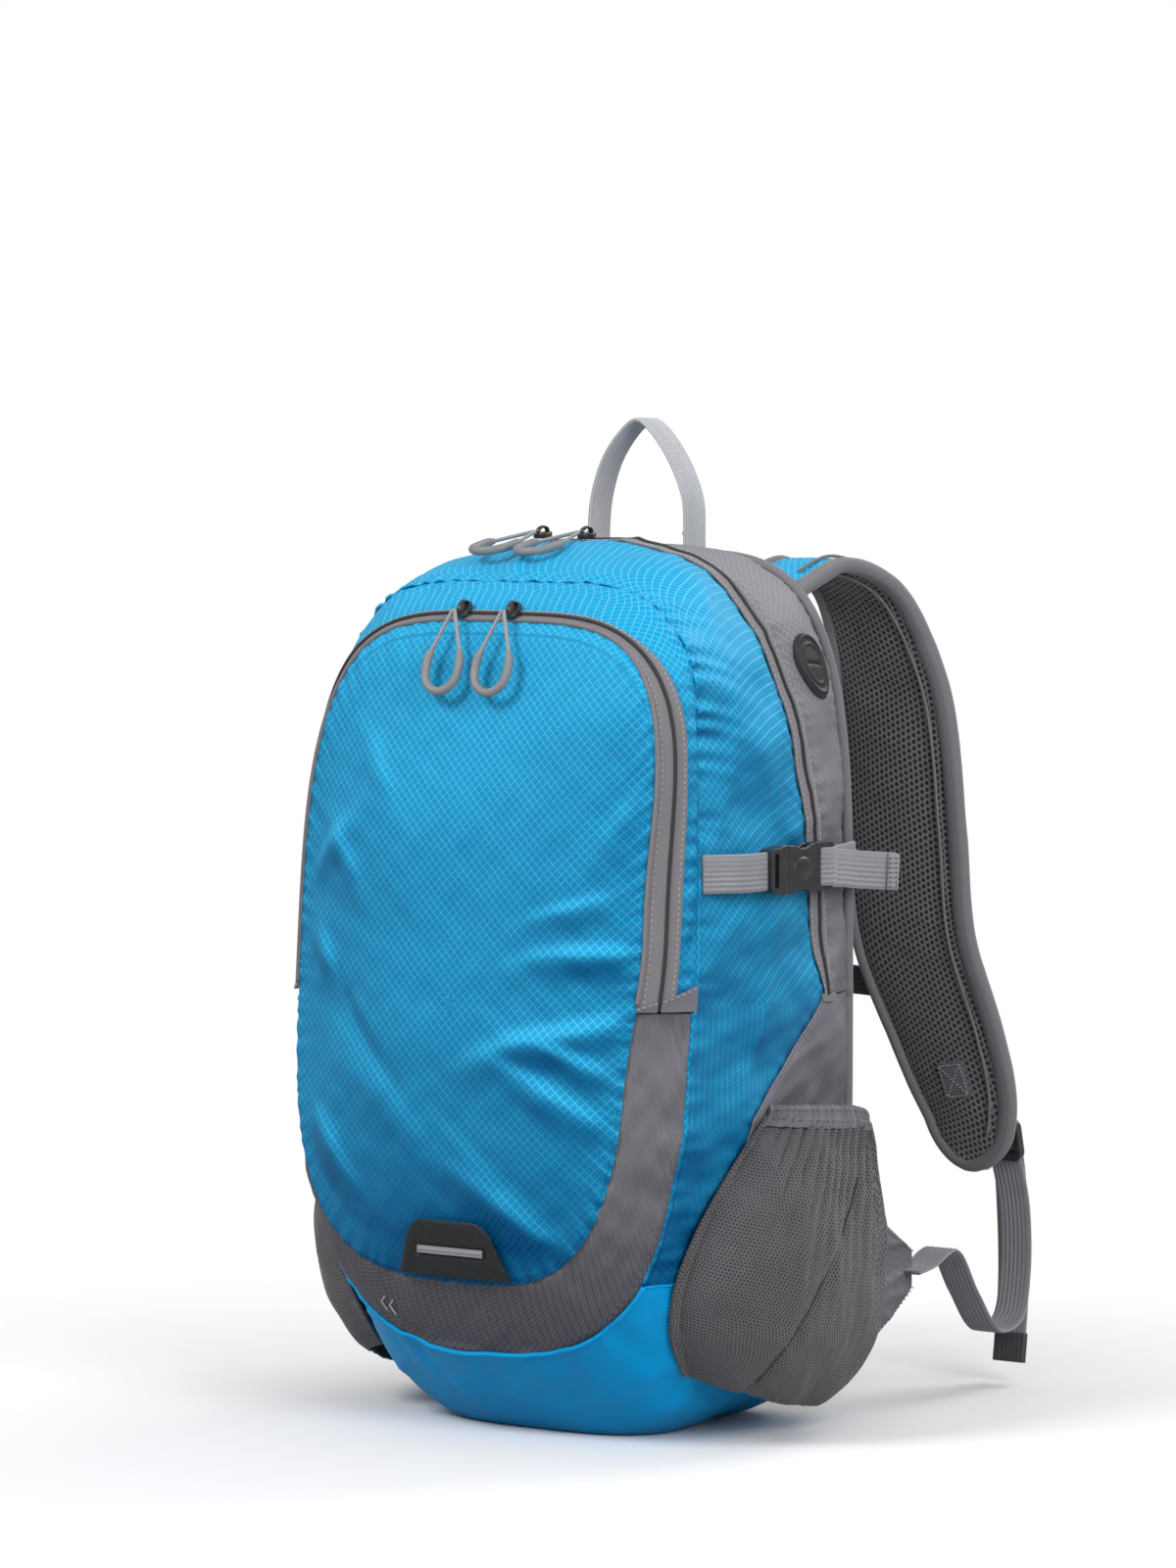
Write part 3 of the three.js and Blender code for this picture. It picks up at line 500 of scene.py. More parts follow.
def tone(red, green, blue):
    """A display colour as the linear colour that nodes take."""
    linear = [(c / 255 / 12.92) if c <= 10 else ((c / 255 + 0.055) / 1.055) ** 2.4
              for c in (red, green, blue)]
    return (*linear, 1.0)


class Recipe:
    """A node material under construction. Its UVs and its places are in millimetres."""

    def __init__(self, name, roughness=0.7, metallic=0.0, sheen=0.0, coat=0.0, specular=0.5):
        self.material = bpy.data.materials.new(name)
        self.material.use_nodes = True
        self.tree = self.material.node_tree
        self.shader = self.tree.nodes["Principled BSDF"]
        self.set("Roughness", roughness)
        self.set("Metallic", metallic)
        self.set("Sheen Weight", sheen)
        self.set("Sheen Roughness", 0.4)
        self.set("Coat Weight", coat)
        self.set("Coat Roughness", 0.25)
        self.set("Specular IOR Level", specular)
        place = self.node("ShaderNodeTexCoord")
        parts = self.node("ShaderNodeSeparateXYZ", {0: place.outputs["UV"]})
        self.u, self.v = parts.outputs[0], parts.outputs[1]
        scaled = self.node("ShaderNodeVectorMath", {0: place.outputs["Object"], 3: 1000.0}, operation="SCALE")
        self.place = scaled.outputs[0]

    def plug(self, socket, value):
        if isinstance(value, bpy.types.NodeSocket):
            self.tree.links.new(value, socket)
        else:
            socket.default_value = value

    def node(self, kind, values=None, **settings):
        made = self.tree.nodes.new(kind)
        for key, value in settings.items():
            setattr(made, key, value)
        for key, value in (values or {}).items():
            self.plug(made.inputs[key], value)
        return made

    def set(self, name, value):
        self.plug(self.shader.inputs[name], value)

    def math(self, operation, *values, clamp=False):
        made = self.node("ShaderNodeMath", dict(enumerate(values)), operation=operation, use_clamp=clamp)
        return made.outputs[0]

    def times(self, value, factor):
        return self.math("MULTIPLY", value, factor)

    def plus(self, value, other):
        return self.math("ADD", value, other)

    def less(self, value, other):
        return self.math("SUBTRACT", value, other)

    def woven(self, first, second, pitch):
        """A plain weave: two sets of yarns at one pitch, over and under."""
        waves_of = [self.math("SINE", self.times(way, 2 * PI / pitch)) for way in (first, second)]
        return self.times(*waves_of)

    def mix(self, factor, first, second, kind="MIX"):
        made = self.node("ShaderNodeMix", data_type="RGBA", blend_type=kind)
        self.plug(made.inputs[0], factor)
        self.plug(made.inputs[6], first)
        self.plug(made.inputs[7], second)
        return made.outputs[2]

    def noise(self, size, detail=2.0):
        values = {"Vector": self.place, "Scale": 1 / size, "Detail": detail}
        return self.node("ShaderNodeTexNoise", values).outputs[0]

    def spread(self, value, low, high):
        """A 0 to 1 value stretched between two numbers."""
        return self.plus(self.times(value, high - low), low)

    def lines(self, coordinate, pitch, width):
        """1 along lines at an even pitch, falling to 0 at half their width to each side."""
        near = self.math("PINGPONG", coordinate, pitch / 2)
        return self.math("SUBTRACT", 1.0, self.math("DIVIDE", near, width / 2), clamp=True)

    def diagonals(self):
        half = math.sqrt(0.5)
        return self.times(self.plus(self.u, self.v), half), self.times(self.less(self.u, self.v), half)

    def bump(self, height, distance, strength=1.0):
        values = {"Height": height, "Distance": distance * MM, "Strength": strength}
        previous = self.shader.inputs["Normal"]
        if previous.is_linked:
            values["Normal"] = previous.links[0].from_socket
        self.set("Normal", self.node("ShaderNodeBump", values).outputs[0])

    def facing_up(self, low, high):
        """0 where the surface looks down or level, rising to 1 where it looks up; it sets how much painted light a
        colour takes.
        """
        way = self.node("ShaderNodeNewGeometry").outputs["Normal"]
        rise = self.node("ShaderNodeSeparateXYZ", {0: way}).outputs[2]
        values = {"Value": rise, "From Min": low, "From Max": high}
        return self.node("ShaderNodeMapRange", values, interpolation_type="SMOOTHSTEP").outputs[0]

    def colour(self, base, variation=0.12, size=45.0):
        """Base colour with soft tonal variation; returns the colour for more layers."""
        patch = self.noise(size, 3.0)
        shade = self.spread(patch, 1 - variation, 1 + variation)
        value = self.node("ShaderNodeCombineColor", {0: shade, 1: shade, 2: shade}).outputs[0]
        return self.mix(1.0, base, value, "MULTIPLY")

    def finish(self, colour):
        self.set("Base Color", colour)
        return self.material


def ripstop(name, shade, lit, line_shade, line_lit, roughness, tint=(1, 1, 1, 1)):
    """Satin-faced plain weave with a raised grid of thicker yarns set on the diagonal.

    Light and shade are painted into its colour: both its ground and its grid run from a painted shade tone where the
    cloth looks down to a painted lit tone, a sheen, where it looks up."""
    r = Recipe(name, roughness=roughness, specular=0.22)
    r.set("Specular Tint", tint)
    a, b = r.diagonals()
    grid = r.math("MAXIMUM", *(r.lines(way, RIPSTOP_PITCH, RIPSTOP_LINE) for way in (a, b)))
    weave = r.woven(a, b, 0.5)
    # painted light: ground and grid take the lit tones where the surface looks up and the shade tones where it looks
    # down, with random patches mixed in
    facing = r.facing_up(-0.4, 0.5)
    lit_share_and_patches = r.math("ADD", facing, r.times(r.plus(r.noise(26.0, 3.0), -0.5), 0.14), clamp=True)
    ground = r.mix(lit_share_and_patches, shade, lit)
    yarn = r.mix(lit_share_and_patches, line_shade, line_lit)
    colour = r.mix(r.times(grid, 0.85), ground, yarn)
    colour = r.mix(r.times(weave, 0.10), colour, yarn)
    r.set("Roughness", r.spread(r.noise(1.4, 2.0), roughness - 0.08, roughness + 0.1))
    r.bump(r.noise(7.0, 3.0), 0.3, 0.3)
    r.bump(grid, 0.24, 0.9)
    r.bump(weave, 0.03, 0.5)
    return r.finish(colour)


def coated(name, base, roughness, tint):
    """Smooth coated cloth with fine scuffs."""
    r = Recipe(name, roughness=roughness, specular=0.36)
    r.set("Specular Tint", tint)
    a, b = r.diagonals()
    weave = r.woven(a, b, 0.7)
    scuffs = r.math("POWER", r.noise(9.0, 6.0), 3.0)
    colour = r.mix(r.times(scuffs, 0.18), r.colour(base, 0.10, 30.0), tone(60, 160, 205))
    r.set("Roughness", r.spread(r.noise(3.0, 4.0), roughness - 0.1, roughness + 0.12))
    r.bump(r.noise(5.0, 4.0), 0.3, 0.3)
    r.bump(weave, 0.03, 0.5)
    return r.finish(colour)


def webbing_material(name, base, dark):
    """Ribbed woven strap: ribs run along it and the picks cross it."""
    r = Recipe(name, roughness=0.72, sheen=0.25)
    ribs = r.lines(r.v, RIB_PITCH, RIB_PITCH)
    offset = r.times(r.math("FLOOR", r.math("DIVIDE", r.v, RIB_PITCH / 2)), PICK_PITCH / 2)
    picks = r.lines(r.plus(r.u, offset), PICK_PITCH, PICK_PITCH)
    height = r.times(ribs, r.spread(picks, 0.55, 1.0))
    # painted shade: the colour darkens in the low places between the ribs and picks, where the bump sinks
    colour = r.mix(r.spread(height, 0.35, 1.0), dark, r.colour(base, 0.10, 20.0))
    r.bump(height, 0.35, 0.9)
    r.bump(r.noise(0.5, 2.0), 0.08, 0.4)
    return r.finish(colour)


def tape_material(name, base, dark):
    """Zip tape: a fine herringbone of short ticks across the tape."""
    r = Recipe(name, roughness=0.8, sheen=0.2)
    ticks = r.lines(r.plus(r.u, r.times(r.math("PINGPONG", r.v, 1.2), 0.9)), TICK_PITCH, TICK_PITCH)
    # painted shade: darker between the ticks, where the bump sinks
    colour = r.mix(r.spread(ticks, 0.25, 1.0), dark, r.colour(base, 0.06, 25.0))
    r.bump(ticks, 0.15, 0.7)
    return r.finish(colour)


def holed_mesh(name, base, hole_shade, pitch, size, amount, slant=0.5):
    """Knitted mesh with staggered rows of holes, painted in a dark tone as the shade seen through them."""
    r = Recipe(name, roughness=0.85, sheen=0.3)
    row = r.math("FLOOR", r.math("DIVIDE", r.v, pitch * 0.87))
    shifted = r.plus(r.u, r.times(row, pitch * slant))
    across = r.math("PINGPONG", shifted, pitch / 2)
    up = r.math("PINGPONG", r.plus(r.v, pitch * 0.435), pitch * 0.435)
    distance = r.math("SQRT", r.plus(r.math("POWER", across, 2.0), r.math("POWER", up, 2.0)))
    edge = r.math("DIVIDE", r.less(distance, size * 0.4), size * 0.4)
    holes = r.math("SUBTRACT", 1.0, edge, clamp=True)
    yarn = r.lines(r.u, 0.6, 0.6)
    # painted shade: the holes take the dark tone of the shade seen through them
    colour = r.mix(r.times(holes, amount), r.colour(base, 0.12, 24.0), hole_shade)
    r.bump(r.less(1.0, holes), 0.6, 0.9)
    r.bump(yarn, 0.06, 0.4)
    return r.finish(colour)


def plain_knit(name, base, dark, pitch=1.6):
    """Elastic or binding tape: fine cross ribs."""
    r = Recipe(name, roughness=0.8, sheen=0.25)
    ribs = r.lines(r.u, pitch, pitch)
    rows = r.lines(r.v, 3.4, 0.7)
    # painted shade: darker between the ribs, where the bump sinks
    colour = r.mix(r.spread(ribs, 0.35, 1.0), dark, r.colour(base, 0.08, 20.0))
    colour = r.mix(r.times(rows, 0.45), colour, dark)
    r.bump(ribs, 0.2, 0.7)
    return r.finish(colour)


def moulded(name, base, worn, roughness, coat=0.0):
    """Moulded plastic or rubber: a fine spark-eroded grain, with scuffed high places."""
    r = Recipe(name, roughness=roughness, coat=coat)
    fine = r.noise(0.9, 3.0)
    scuffs = r.math("POWER", r.noise(4.0, 5.0), 4.0)
    colour = r.mix(r.times(scuffs, 0.6), r.colour(base, 0.15, 12.0), worn)
    r.set("Roughness", r.spread(fine, roughness - 0.1, roughness + 0.12))
    r.bump(fine, 0.06, 0.5)
    return r.finish(colour)


def lining_material(name, base):
    r = Recipe(name, roughness=0.6, sheen=0.2)
    weave = r.woven(r.u, r.v, 0.8)
    r.bump(weave, 0.06, 0.6)
    r.bump(r.noise(12.0, 3.0), 0.6, 0.3)
    return r.finish(r.colour(base, 0.10, 30.0))


def thread_material(name, base):
    r = Recipe(name, roughness=0.6, sheen=0.3)
    r.bump(r.noise(0.4, 2.0), 0.1, 0.6)
    return r.finish(r.colour(base, 0.12, 6.0))


def cord_material(name, base, dark):
    """Braided cord: two slanted sets of strands."""
    r = Recipe(name, roughness=0.6, sheen=0.2)
    ways = r.plus(r.u, r.v), r.less(r.u, r.v)
    strands = r.math("MAXIMUM", *(r.lines(way, STRAND_PITCH, STRAND_WIDTH) for way in ways))
    r.bump(strands, 0.15, 0.8)
    # painted shade: darker between the strands, where the bump sinks
    return r.finish(r.mix(r.spread(strands, 0.3, 1.0), dark, r.colour(base, 0.08, 9.0)))


CYAN_SHEEN = (0.25, 0.72, 1.0, 1.0)
# blue ripstop: a painted shade tone and a painted lit tone for its ground, then the same for its grid
BLUE = ripstop("blue_ripstop", tone(0, 86, 140), tone(6, 160, 214), tone(0, 46, 84), tone(112, 210, 244),
               0.44, tint=CYAN_SHEEN)
BASE = coated("blue_base", tone(0, 158, 224), 0.40, CYAN_SHEEN)
# grey ripstop: a painted shade tone and a painted lit tone for its ground, then the same for its grid
GREY = ripstop("grey_ripstop", tone(98, 97, 103), tone(128, 128, 135), tone(66, 66, 71), tone(166, 166, 173),
               0.55)
WEB = webbing_material("grey_webbing", tone(202, 204, 209), tone(134, 135, 140))
WEB_MID = webbing_material("mid_webbing", tone(158, 159, 164), tone(102, 103, 107))
# dark webbing; on the lower tails' hems it is painted shadow
WEB_DARK = webbing_material("dark_webbing", tone(84, 84, 88), tone(44, 44, 47))
TAPE = tape_material("zip_tape", tone(140, 137, 141), tone(94, 92, 96))
# the second tone of each mesh is painted shade, filling its holes
SPACER = holed_mesh("spacer_mesh", tone(124, 123, 128), tone(18, 18, 20), 3.6, 2.0, amount=0.95, slant=0.35)
MESH = holed_mesh("pocket_mesh", tone(104, 103, 107), tone(38, 38, 41), 2.1, 1.15, amount=0.8)
ELASTIC = plain_knit("elastic", tone(122, 121, 126), tone(78, 78, 82))
BINDING = plain_knit("binding", tone(128, 127, 131), tone(94, 93, 97), 1.1)
LINING = lining_material("lining", tone(150, 152, 157))
PLASTIC = moulded("black_plastic", tone(36, 36, 38), tone(92, 92, 94), 0.34, coat=0.15)
RUBBER = moulded("black_rubber", tone(23, 24, 26), tone(70, 70, 72), 0.5)
GRIP = moulded("pull_grip", tone(128, 130, 133), tone(165, 166, 168), 0.5)
METAL = moulded("slider_metal", tone(34, 34, 36), tone(120, 120, 122), 0.3, coat=0.4)
CORD = cord_material("pull_cord", tone(168, 169, 173), tone(104, 104, 108))
# dark coil: the coil's own dark, which also stands in as painted shade for the gap between the zip's tapes
COIL_AND_GAP_SHADE = plain_knit("zip_coil", tone(56, 55, 58), tone(28, 28, 30), 1.3)
THREAD_GREY = thread_material("thread_grey", tone(172, 173, 177))
THREAD_DARK = thread_material("thread_dark", tone(58, 58, 62))


# ------------------------------------------------------------------ how a piece is handed over
def takes_place(obj, nodes):
    """Hides the CAD nodes that a piece stands for, if any."""
    if nodes:
        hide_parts(*nodes)
    return obj


def hand_over(obj, body, slot, *nodes):
    """Hands over a piece that moves with one body."""
    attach(obj, body)
    return takes_place(obj, nodes)


def vertices_of(obj):
    co = np.empty(len(obj.data.vertices) * 3)
    obj.data.vertices.foreach_get("co", co)
    return co.reshape(-1, 3) / MM


def fan(obj, slot, *nodes):
    """Cloth below the zip ends: its transform is baked into its mesh, and the CAD nodes it stands for are hidden."""
    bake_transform(obj)
    co = vertices_of(obj)
    return takes_place(obj, nodes)


def lined(obj):
    """The inside of a wall shows the lining."""
    obj.data.materials.append(LINING)
    obj.modifiers["thickness"].material_offset = 1
    return obj


# ------------------------------------------------------------------ shell of the bag
UPPER_GAP = 0.004
STEP = 2.2                  # distance between grid points on the big panels
SHELL_THICK = 2.6
TAPE_BEHIND, TAPE_AHEAD = 7.0, 8.5      # the main zip's tapes behind and ahead of its coil
COIL_RADIUS = 1.3
ZIP_TAPER = 0.3


def zip_taper(z):
    """The main zip's tapes narrow into the seam at its two ends."""
    return ZIP_TAPER + (1 - ZIP_TAPER) * smooth_step((z - ZIP_END_Z) / 26)


def near_zip(angle, millimetres):
    """Shell station a number of millimetres behind (negative) or ahead of the main zip."""
    z = shell(angle, np.full_like(angle, SHELL_ZIP))[..., 2]
    reach = millimetres * zip_taper(z)
    if millimetres < 0:
        return SHELL_ZIP + reach / (REAR_SEAM_Y - zip_y(z)) * SHELL_ZIP
    return SHELL_ZIP + reach / (zip_y(z) - front_seam_y(z)) * (1 - SHELL_ZIP)


def even_angles(curve, start, end, step):
    """Angles at even distances along curve(angles)."""
    fine = np.linspace(start, end, 2400)
    run = run_along(curve(fine))
    return np.interp(np.linspace(0, run[-1], max(4, int(run[-1] / step) + 1)), run, fine)


def upper_angles(step=STEP, station=0.5):
    return even_angles(lambda a: shell(a, np.full_like(a, station)), UPPER_GAP, PI - UPPER_GAP, step)


def grid_between(angles, start, end, count):
    """Shell points from one station to another, each either a number or one per angle."""
    across = np.linspace(0, 1, count)[None, :]
    start = np.broadcast_to(start, angles.shape)[:, None]
    end = np.broadcast_to(end, angles.shape)[:, None]
    stations = start + (end - start) * across
    return shell(np.broadcast_to(angles[:, None], stations.shape), stations)


def body_relief(points):
    """Broad dents and soft creases of a lightly filled cloth body; neighbours share it, so their edges meet."""
    broad = 1.5 * waves(points, 105, 11) + 0.8 * waves(points, 48, 12)
    folds = 1.1 * creases(points, 58, 13, stretch=((0.2, 0.6, 1.0), 2.6))
    fine = 0.28 * waves(points, 15, 14)
    return broad + folds + fine - 0.6


def seam_gathers(points, from_edges, seed, size=0.8, wavelength=8.5, reach=9.0):
    """Puckers that run in from a panel's edges. from_edges is each point's distance to its nearest seam."""
    along = lengths(points, 0)
    return size * pucker(along, from_edges, wavelength, reach, seed)


def edge_distance(points):
    """Distance across a panel to its nearer long edge."""
    across = lengths(points, 1)
    return np.minimum(across, across[:, -1:] - across)


def tucked(points, depth, width=3.0):
    """How far a panel's long edges turn down into their seams."""
    return -depth * np.exp(-((edge_distance(points) / width) ** 2))


def make_rear_gusset():
    angles = upper_angles()
    grid = grid_between(angles, 0.0, near_zip(angles, -TAPE_BEHIND), 26)
    relief = body_relief(grid) + seam_gathers(grid, edge_distance(grid), 21, 0.5) + tucked(grid, 0.9)
    obj = lined(sheet("rear_gusset_cloth", raised(grid, relief), GREY, SHELL_THICK))
    hand_over(obj, "root", "grey_ripstop", "rear_gusset")


def surface_row(name, grid, column, material, *sizes):
    """A row of stitches along one column of a sheet's points."""
    return stitches(name, grid[:, column], normals_of(grid)[:, column], material, *sizes)


def zip_strip(name, behind, ahead, body, node, seed):
    angles = upper_angles(1.8, SHELL_ZIP)
    grid = grid_between(angles, near_zip(angles, behind), near_zip(angles, ahead), 9)
    crown = 0.5 * np.sin(np.linspace(0, PI, 9))[None, :]
    grid = raised(grid, body_relief(grid) + 0.35 + crown + 0.12 * waves(grid, 9, seed))
    hand_over(sheet(name, grid, TAPE, 1.0), body, "zip_tape", node)
    return grid


def make_main_zip():
    rear = zip_strip("main_zip_tape_rear", -TAPE_BEHIND, -0.3, "root", "main_zip_rear_tape", 31)
    front = zip_strip("main_zip_tape_front", 0.3, TAPE_AHEAD, "front_shell", "main_zip_front_tape", 32)
    for name, grid, body, column in (("rear", rear, "root", 2), ("front", front, "front_shell", 7)):
        hand_over(surface_row(f"main_zip_stitches_{name}", grid, column, THREAD_GREY), body, "zip_tape")
    coil("main_zip_coil", front[:, 0] + normals_of(front)[:, 0] * 0.3, "front_shell")
    for name, end in (("right", 0), ("left", -1)):
        stop = zip_end(f"main_zip_end_{name}", front[end, 0], rear[end, 0])
        hand_over(stop, "root", "zip_tape")


def coil(name, path, body, radius=COIL_RADIUS):
    """A nylon zip coil: a round bead whose turns stand out at an even pitch. Its dark colour is the coil's own and
    also serves as painted shade in the gap between the tapes.
    """
    points = resample(path, 0.75, smooth=False)
    turns = 1 + 0.14 * (np.arange(len(points)) % 2 * 2 - 1)
    hand_over(tube(name, points, radius, COIL_AND_GAP_SHADE, scale=turns, count=7), body, "zip_tape")


def zip_end(name, front, rear):
    """The bar tack and tape end that close a zip."""
    middle = (front + rear) / 2
    path = np.array([middle + (0, 5.5, -1.2), middle + (0, 0, -1.6), middle + (0, -6.5, -1.0)])
    return webbing(name, path, UPWARD, TAPE, width=4.5, thick=2.2, step=1.2, ribs=3)


def side_station(y, z):
    """Shell station at a depth and height below the zip ends."""
    behind = SHELL_ZIP * (REAR_SEAM_Y - y) / (REAR_SEAM_Y - HINGE_Y)
    ahead = SHELL_ZIP + (1 - SHELL_ZIP) * (HINGE_Y - y) / (HINGE_Y - front_seam_y(z))
    return np.where(y > HINGE_Y, behind, ahead)


def side_point(y, z, side=1.0):
    y, z = np.broadcast_arrays(np.asarray(y, float), np.asarray(z, float))
    station = side_station(y, z)
    angle = angle_at_height(lambda a: shell(a, station), z)
    return sided(shell(angle, station), side)


def sweep_y(z):
    """Where the grey side panel meets the blue one: it sweeps forward from the zip end to the side pocket."""
    drop = np.clip((ZIP_END_Z - z) / 60, 0, 1)
    low = np.clip((170 - z) / 60, 0, 1)
    return HINGE_Y - TAPE_AHEAD * ZIP_TAPER - 63.5 * drop - 34 * smooth_step(low)


def side_heights():
    return np.linspace(ZIP_END_Z, BASE_SEAM_Z, 66)


def blue_wall():
    """The blue wall from one base seam over the top to the other, and the number of its first row over the top.

    Each row runs from the zip or the grey panel to the front seam."""
    count = 48
    across = np.linspace(0, 1, count)[None, :]
    angles = upper_angles()
    over = grid_between(angles, near_zip(angles, TAPE_AHEAD), 1.0, count)
    z = np.broadcast_to(side_heights()[:, None], (len(side_heights()), count))
    middle = sweep_y(side_heights())[:, None]
    side = side_point(middle + (front_seam_y(z) - middle) * across, z)
    grid = np.concatenate([side[:0:-1], over, mirrored(side)[1:]])
    run = lengths(grid, 1)
    to_front = run[:, -1:] - run
    relief = body_relief(grid) + tucked(grid, 1.0)
    near_corner = np.exp(-(((grid[..., 2] - 405) / 48) ** 2))
    relief += seam_gathers(grid, to_front, 22, 1, 12.0, 15.0) * (0.2 + 1.3 * near_corner)
    relief += seam_gathers(grid, run, 23, 0.35, 13.0, 9.0)
    return raised(grid, relief), len(side) - 1


def make_blue_wall():
    grid, low = blue_wall()
    uv = grid_uv(grid)
    spans = ((None, slice(low, len(grid) - low)), ("right", slice(0, low + 1)),
             ("left", slice(len(grid) - low - 1, len(grid))))
    for side, rows in spans:
        name = f"side_cloth_blue_{side}" if side else "front_gusset_cloth"
        cloth = lined(sheet(name, grid[rows], BLUE, SHELL_THICK, uv[rows]))
        way = normals_of(grid[rows])[:, -1]
        seam = tube(f"front_seam_{name}", grid[rows][:, -1] - way * 0.2, 1.6, BLUE, count=10)
        if side:
            fan(cloth, "blue_ripstop", f"side_panel_front_{side}", f"side_fold_{side}")
            fan(seam, "blue_ripstop")
        else:
            hand_over(cloth, "front_shell", "blue_ripstop", "front_gusset")
            hand_over(seam, "front_shell", "blue_ripstop")


def make_grey_sides():
    for name, side in SIDES:
        across = np.linspace(0, 1, 46)[None, :]
        z = np.broadcast_to(side_heights()[:, None], (len(side_heights()), 46))
        middle = sweep_y(side_heights())[:, None]
        rear = side_point(REAR_SEAM_Y + (middle - REAR_SEAM_Y) * across, z, side)
        relief = body_relief(rear) + tucked(rear, 0.8)
        relief += 1.0 * creases(rear, 40, 25, stretch=((0, 1.0, 1.1), 3.0)) - 0.4
        obj = lined(sheet(f"side_cloth_grey_{name}", raised(rear, relief), GREY, SHELL_THICK))
        hand_over(obj, "root", "grey_ripstop", f"side_panel_rear_{name}")
        seam = raised(rear, body_relief(rear) - 0.3)[:, -1]
        hand_over(tube(f"side_seam_{name}", seam, 0.8, GREY, count=8), "root", "grey_ripstop")


def base_angles(stations):
    """Angles of the base's seam on the right and on the left."""
    start = angle_at_height(lambda a: shell(a, stations), np.full_like(stations, BASE_SEAM_Z))
    return start, -PI - start


def make_base():
    stations = np.linspace(0.0, 1.0, 84)
    start, end = base_angles(stations)
    run = np.linspace(0, 1, 190)[:, None]
    angles = start[None, :] + (end - start)[None, :] * run
    grid = shell(angles, np.broadcast_to(stations[None, :], angles.shape))
    above = np.clip(grid[..., 2] / 22, 0, 1)
    sag = creases(grid, 36, 41, stretch=((1.0, 0.2, 0.1), 2.0)) * 1.1 + 0.5 * waves(grid, 22, 42)
    relief = (body_relief(grid) + sag) * above + tucked(grid, 0.6) * above
    moved = raised(grid, relief)
    moved[..., 2] = np.maximum(moved[..., 2], 0.3)
    obj = lined(sheet("base_cloth", moved, BASE, SHELL_THICK))
    hand_over(obj, "root", "blue_base", "base_panel")
    front = moved[:, -1] + np.array([0, -0.3, 0])
    hand_over(tube("front_seam_base", front, 1.4, BASE, count=10), "root", "blue_base")
    for name, row in (("right", 0), ("left", -1)):
        edge = moved[row] + normals_of(moved)[row] * 0.2
        seam = tube(f"base_seam_{name}", resample(edge, 2.4, False), 0.8, BASE, count=8)
        hand_over(seam, "root", "blue_base")


# ------------------------------------------------------------------ front pocket
WALL_SEAM, WALL_TAPE, WALL_COIL, WALL_EDGE = 0.0, 0.40, 0.66, 0.985     # places across the pocket's side wall
POCKET_THICK = 1.8
FACE_FOLDS = (              # centre (x, z), direction in degrees, length, half width, height
    ((81, 258), 11, 72, 7.0, 3.0), ((64, 216), 19, 104, 8.0, 3.6), ((73, 203), -14, 58, 6.5, 2.6),
    ((62, 184), -21, 70, 7.5, 2.8), ((41, 121), -27, 84, 9.0, 3.2), ((67, 281), 24, 44, 6.0, 1.8),
    ((-89, 311), 55, 52, 7.0, 2.4), ((-80, 304), -44, 46, 7.0, 2.0), ((-66, 216), -41, 74, 9.0, -1.8),
    ((-84, 152), -43, 52, 8.0, 2.6), ((-92, 250), -50, 40, 7.0, 2.2), ((-62, 352), -47, 48, 8.0, 1.8),
    ((-40, 178), -38, 90, 10.0, 1.3), ((12, 150), -33, 96, 11.0, 1.0), ((96, 330), 62, 60, 8.0, 1.6),
)


def over_top(angle, side_value, top_value):
    """A wall place that has one value down the pocket's sides and another along its top."""
    share = smooth_step((np.sin(angle) - 0.55) / 0.3)
    return side_value + (top_value - side_value) * share


def wall_grid(angles, start, end, count):
    """Points of the pocket's side wall between two places, each either a number or one per angle."""
    start = np.broadcast_to(start, angles.shape)[:, None]
    end = np.broadcast_to(end, angles.shape)[:, None]
    return wall(angles[:, None], start + (end - start) * np.linspace(0, 1, count)[None, :])


def tape_start(angle):
    return over_top(angle, WALL_TAPE, 0.69)


def coil_place(angle):
    return over_top(angle, WALL_COIL, 0.745)


def tape_end(angle):
    """Where the flap's tape meets its cloth, which rolls over the pocket's top edge."""
    return over_top(angle, WALL_EDGE, 0.84)


def pocket_angles(start, end, step=STEP):
    return even_angles(lambda a: wall(a, np.ones_like(a)), start, end, step)


def flap_blend(obj, slot, *nodes):
    """Cloth of the pocket flap: its transform is baked into its mesh, and the CAD nodes it stands for are hidden."""
    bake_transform(obj)
    return takes_place(obj, nodes)


def fold(points, centre, degrees, length, width, height):
    """One long soft fold across the face, fading at its ends and slightly bent."""
    turn = math.radians(degrees)
    x, z = points[..., 0] - centre[0], points[..., 2] - centre[1]
    along = x * math.cos(turn) + z * math.sin(turn)
    across = z * math.cos(turn) - x * math.sin(turn) + 3.0 * np.sin(along / 19)
    fade = np.exp(-1.3 * (2 * along / length) ** 2)
    steep = np.where(across > 0, 0.7, 1.35)
    return height * fade * np.exp(-((across / (width * steep)) ** 2))


def pocket_relief(points):
    """The pocket's cloth: nearly smooth, with pull folds drawn in from its two long edges."""
    folds = sum(fold(points, *row) for row in FACE_FOLDS)
    broad = 1.0 * waves(points, 120, 53)
    fine = 0.10 * waves(points, 13, 54) + 0.14 * waves(points, 26, 55)
    return broad + fine + folds - 0.8


def face_near_edge(grid):
    """Distance from the face's rounded edge, in millimetres, near enough for seams."""
    return (1 - np.minimum(1, face_ratio(grid[..., 0], grid[..., 2]))) * 150


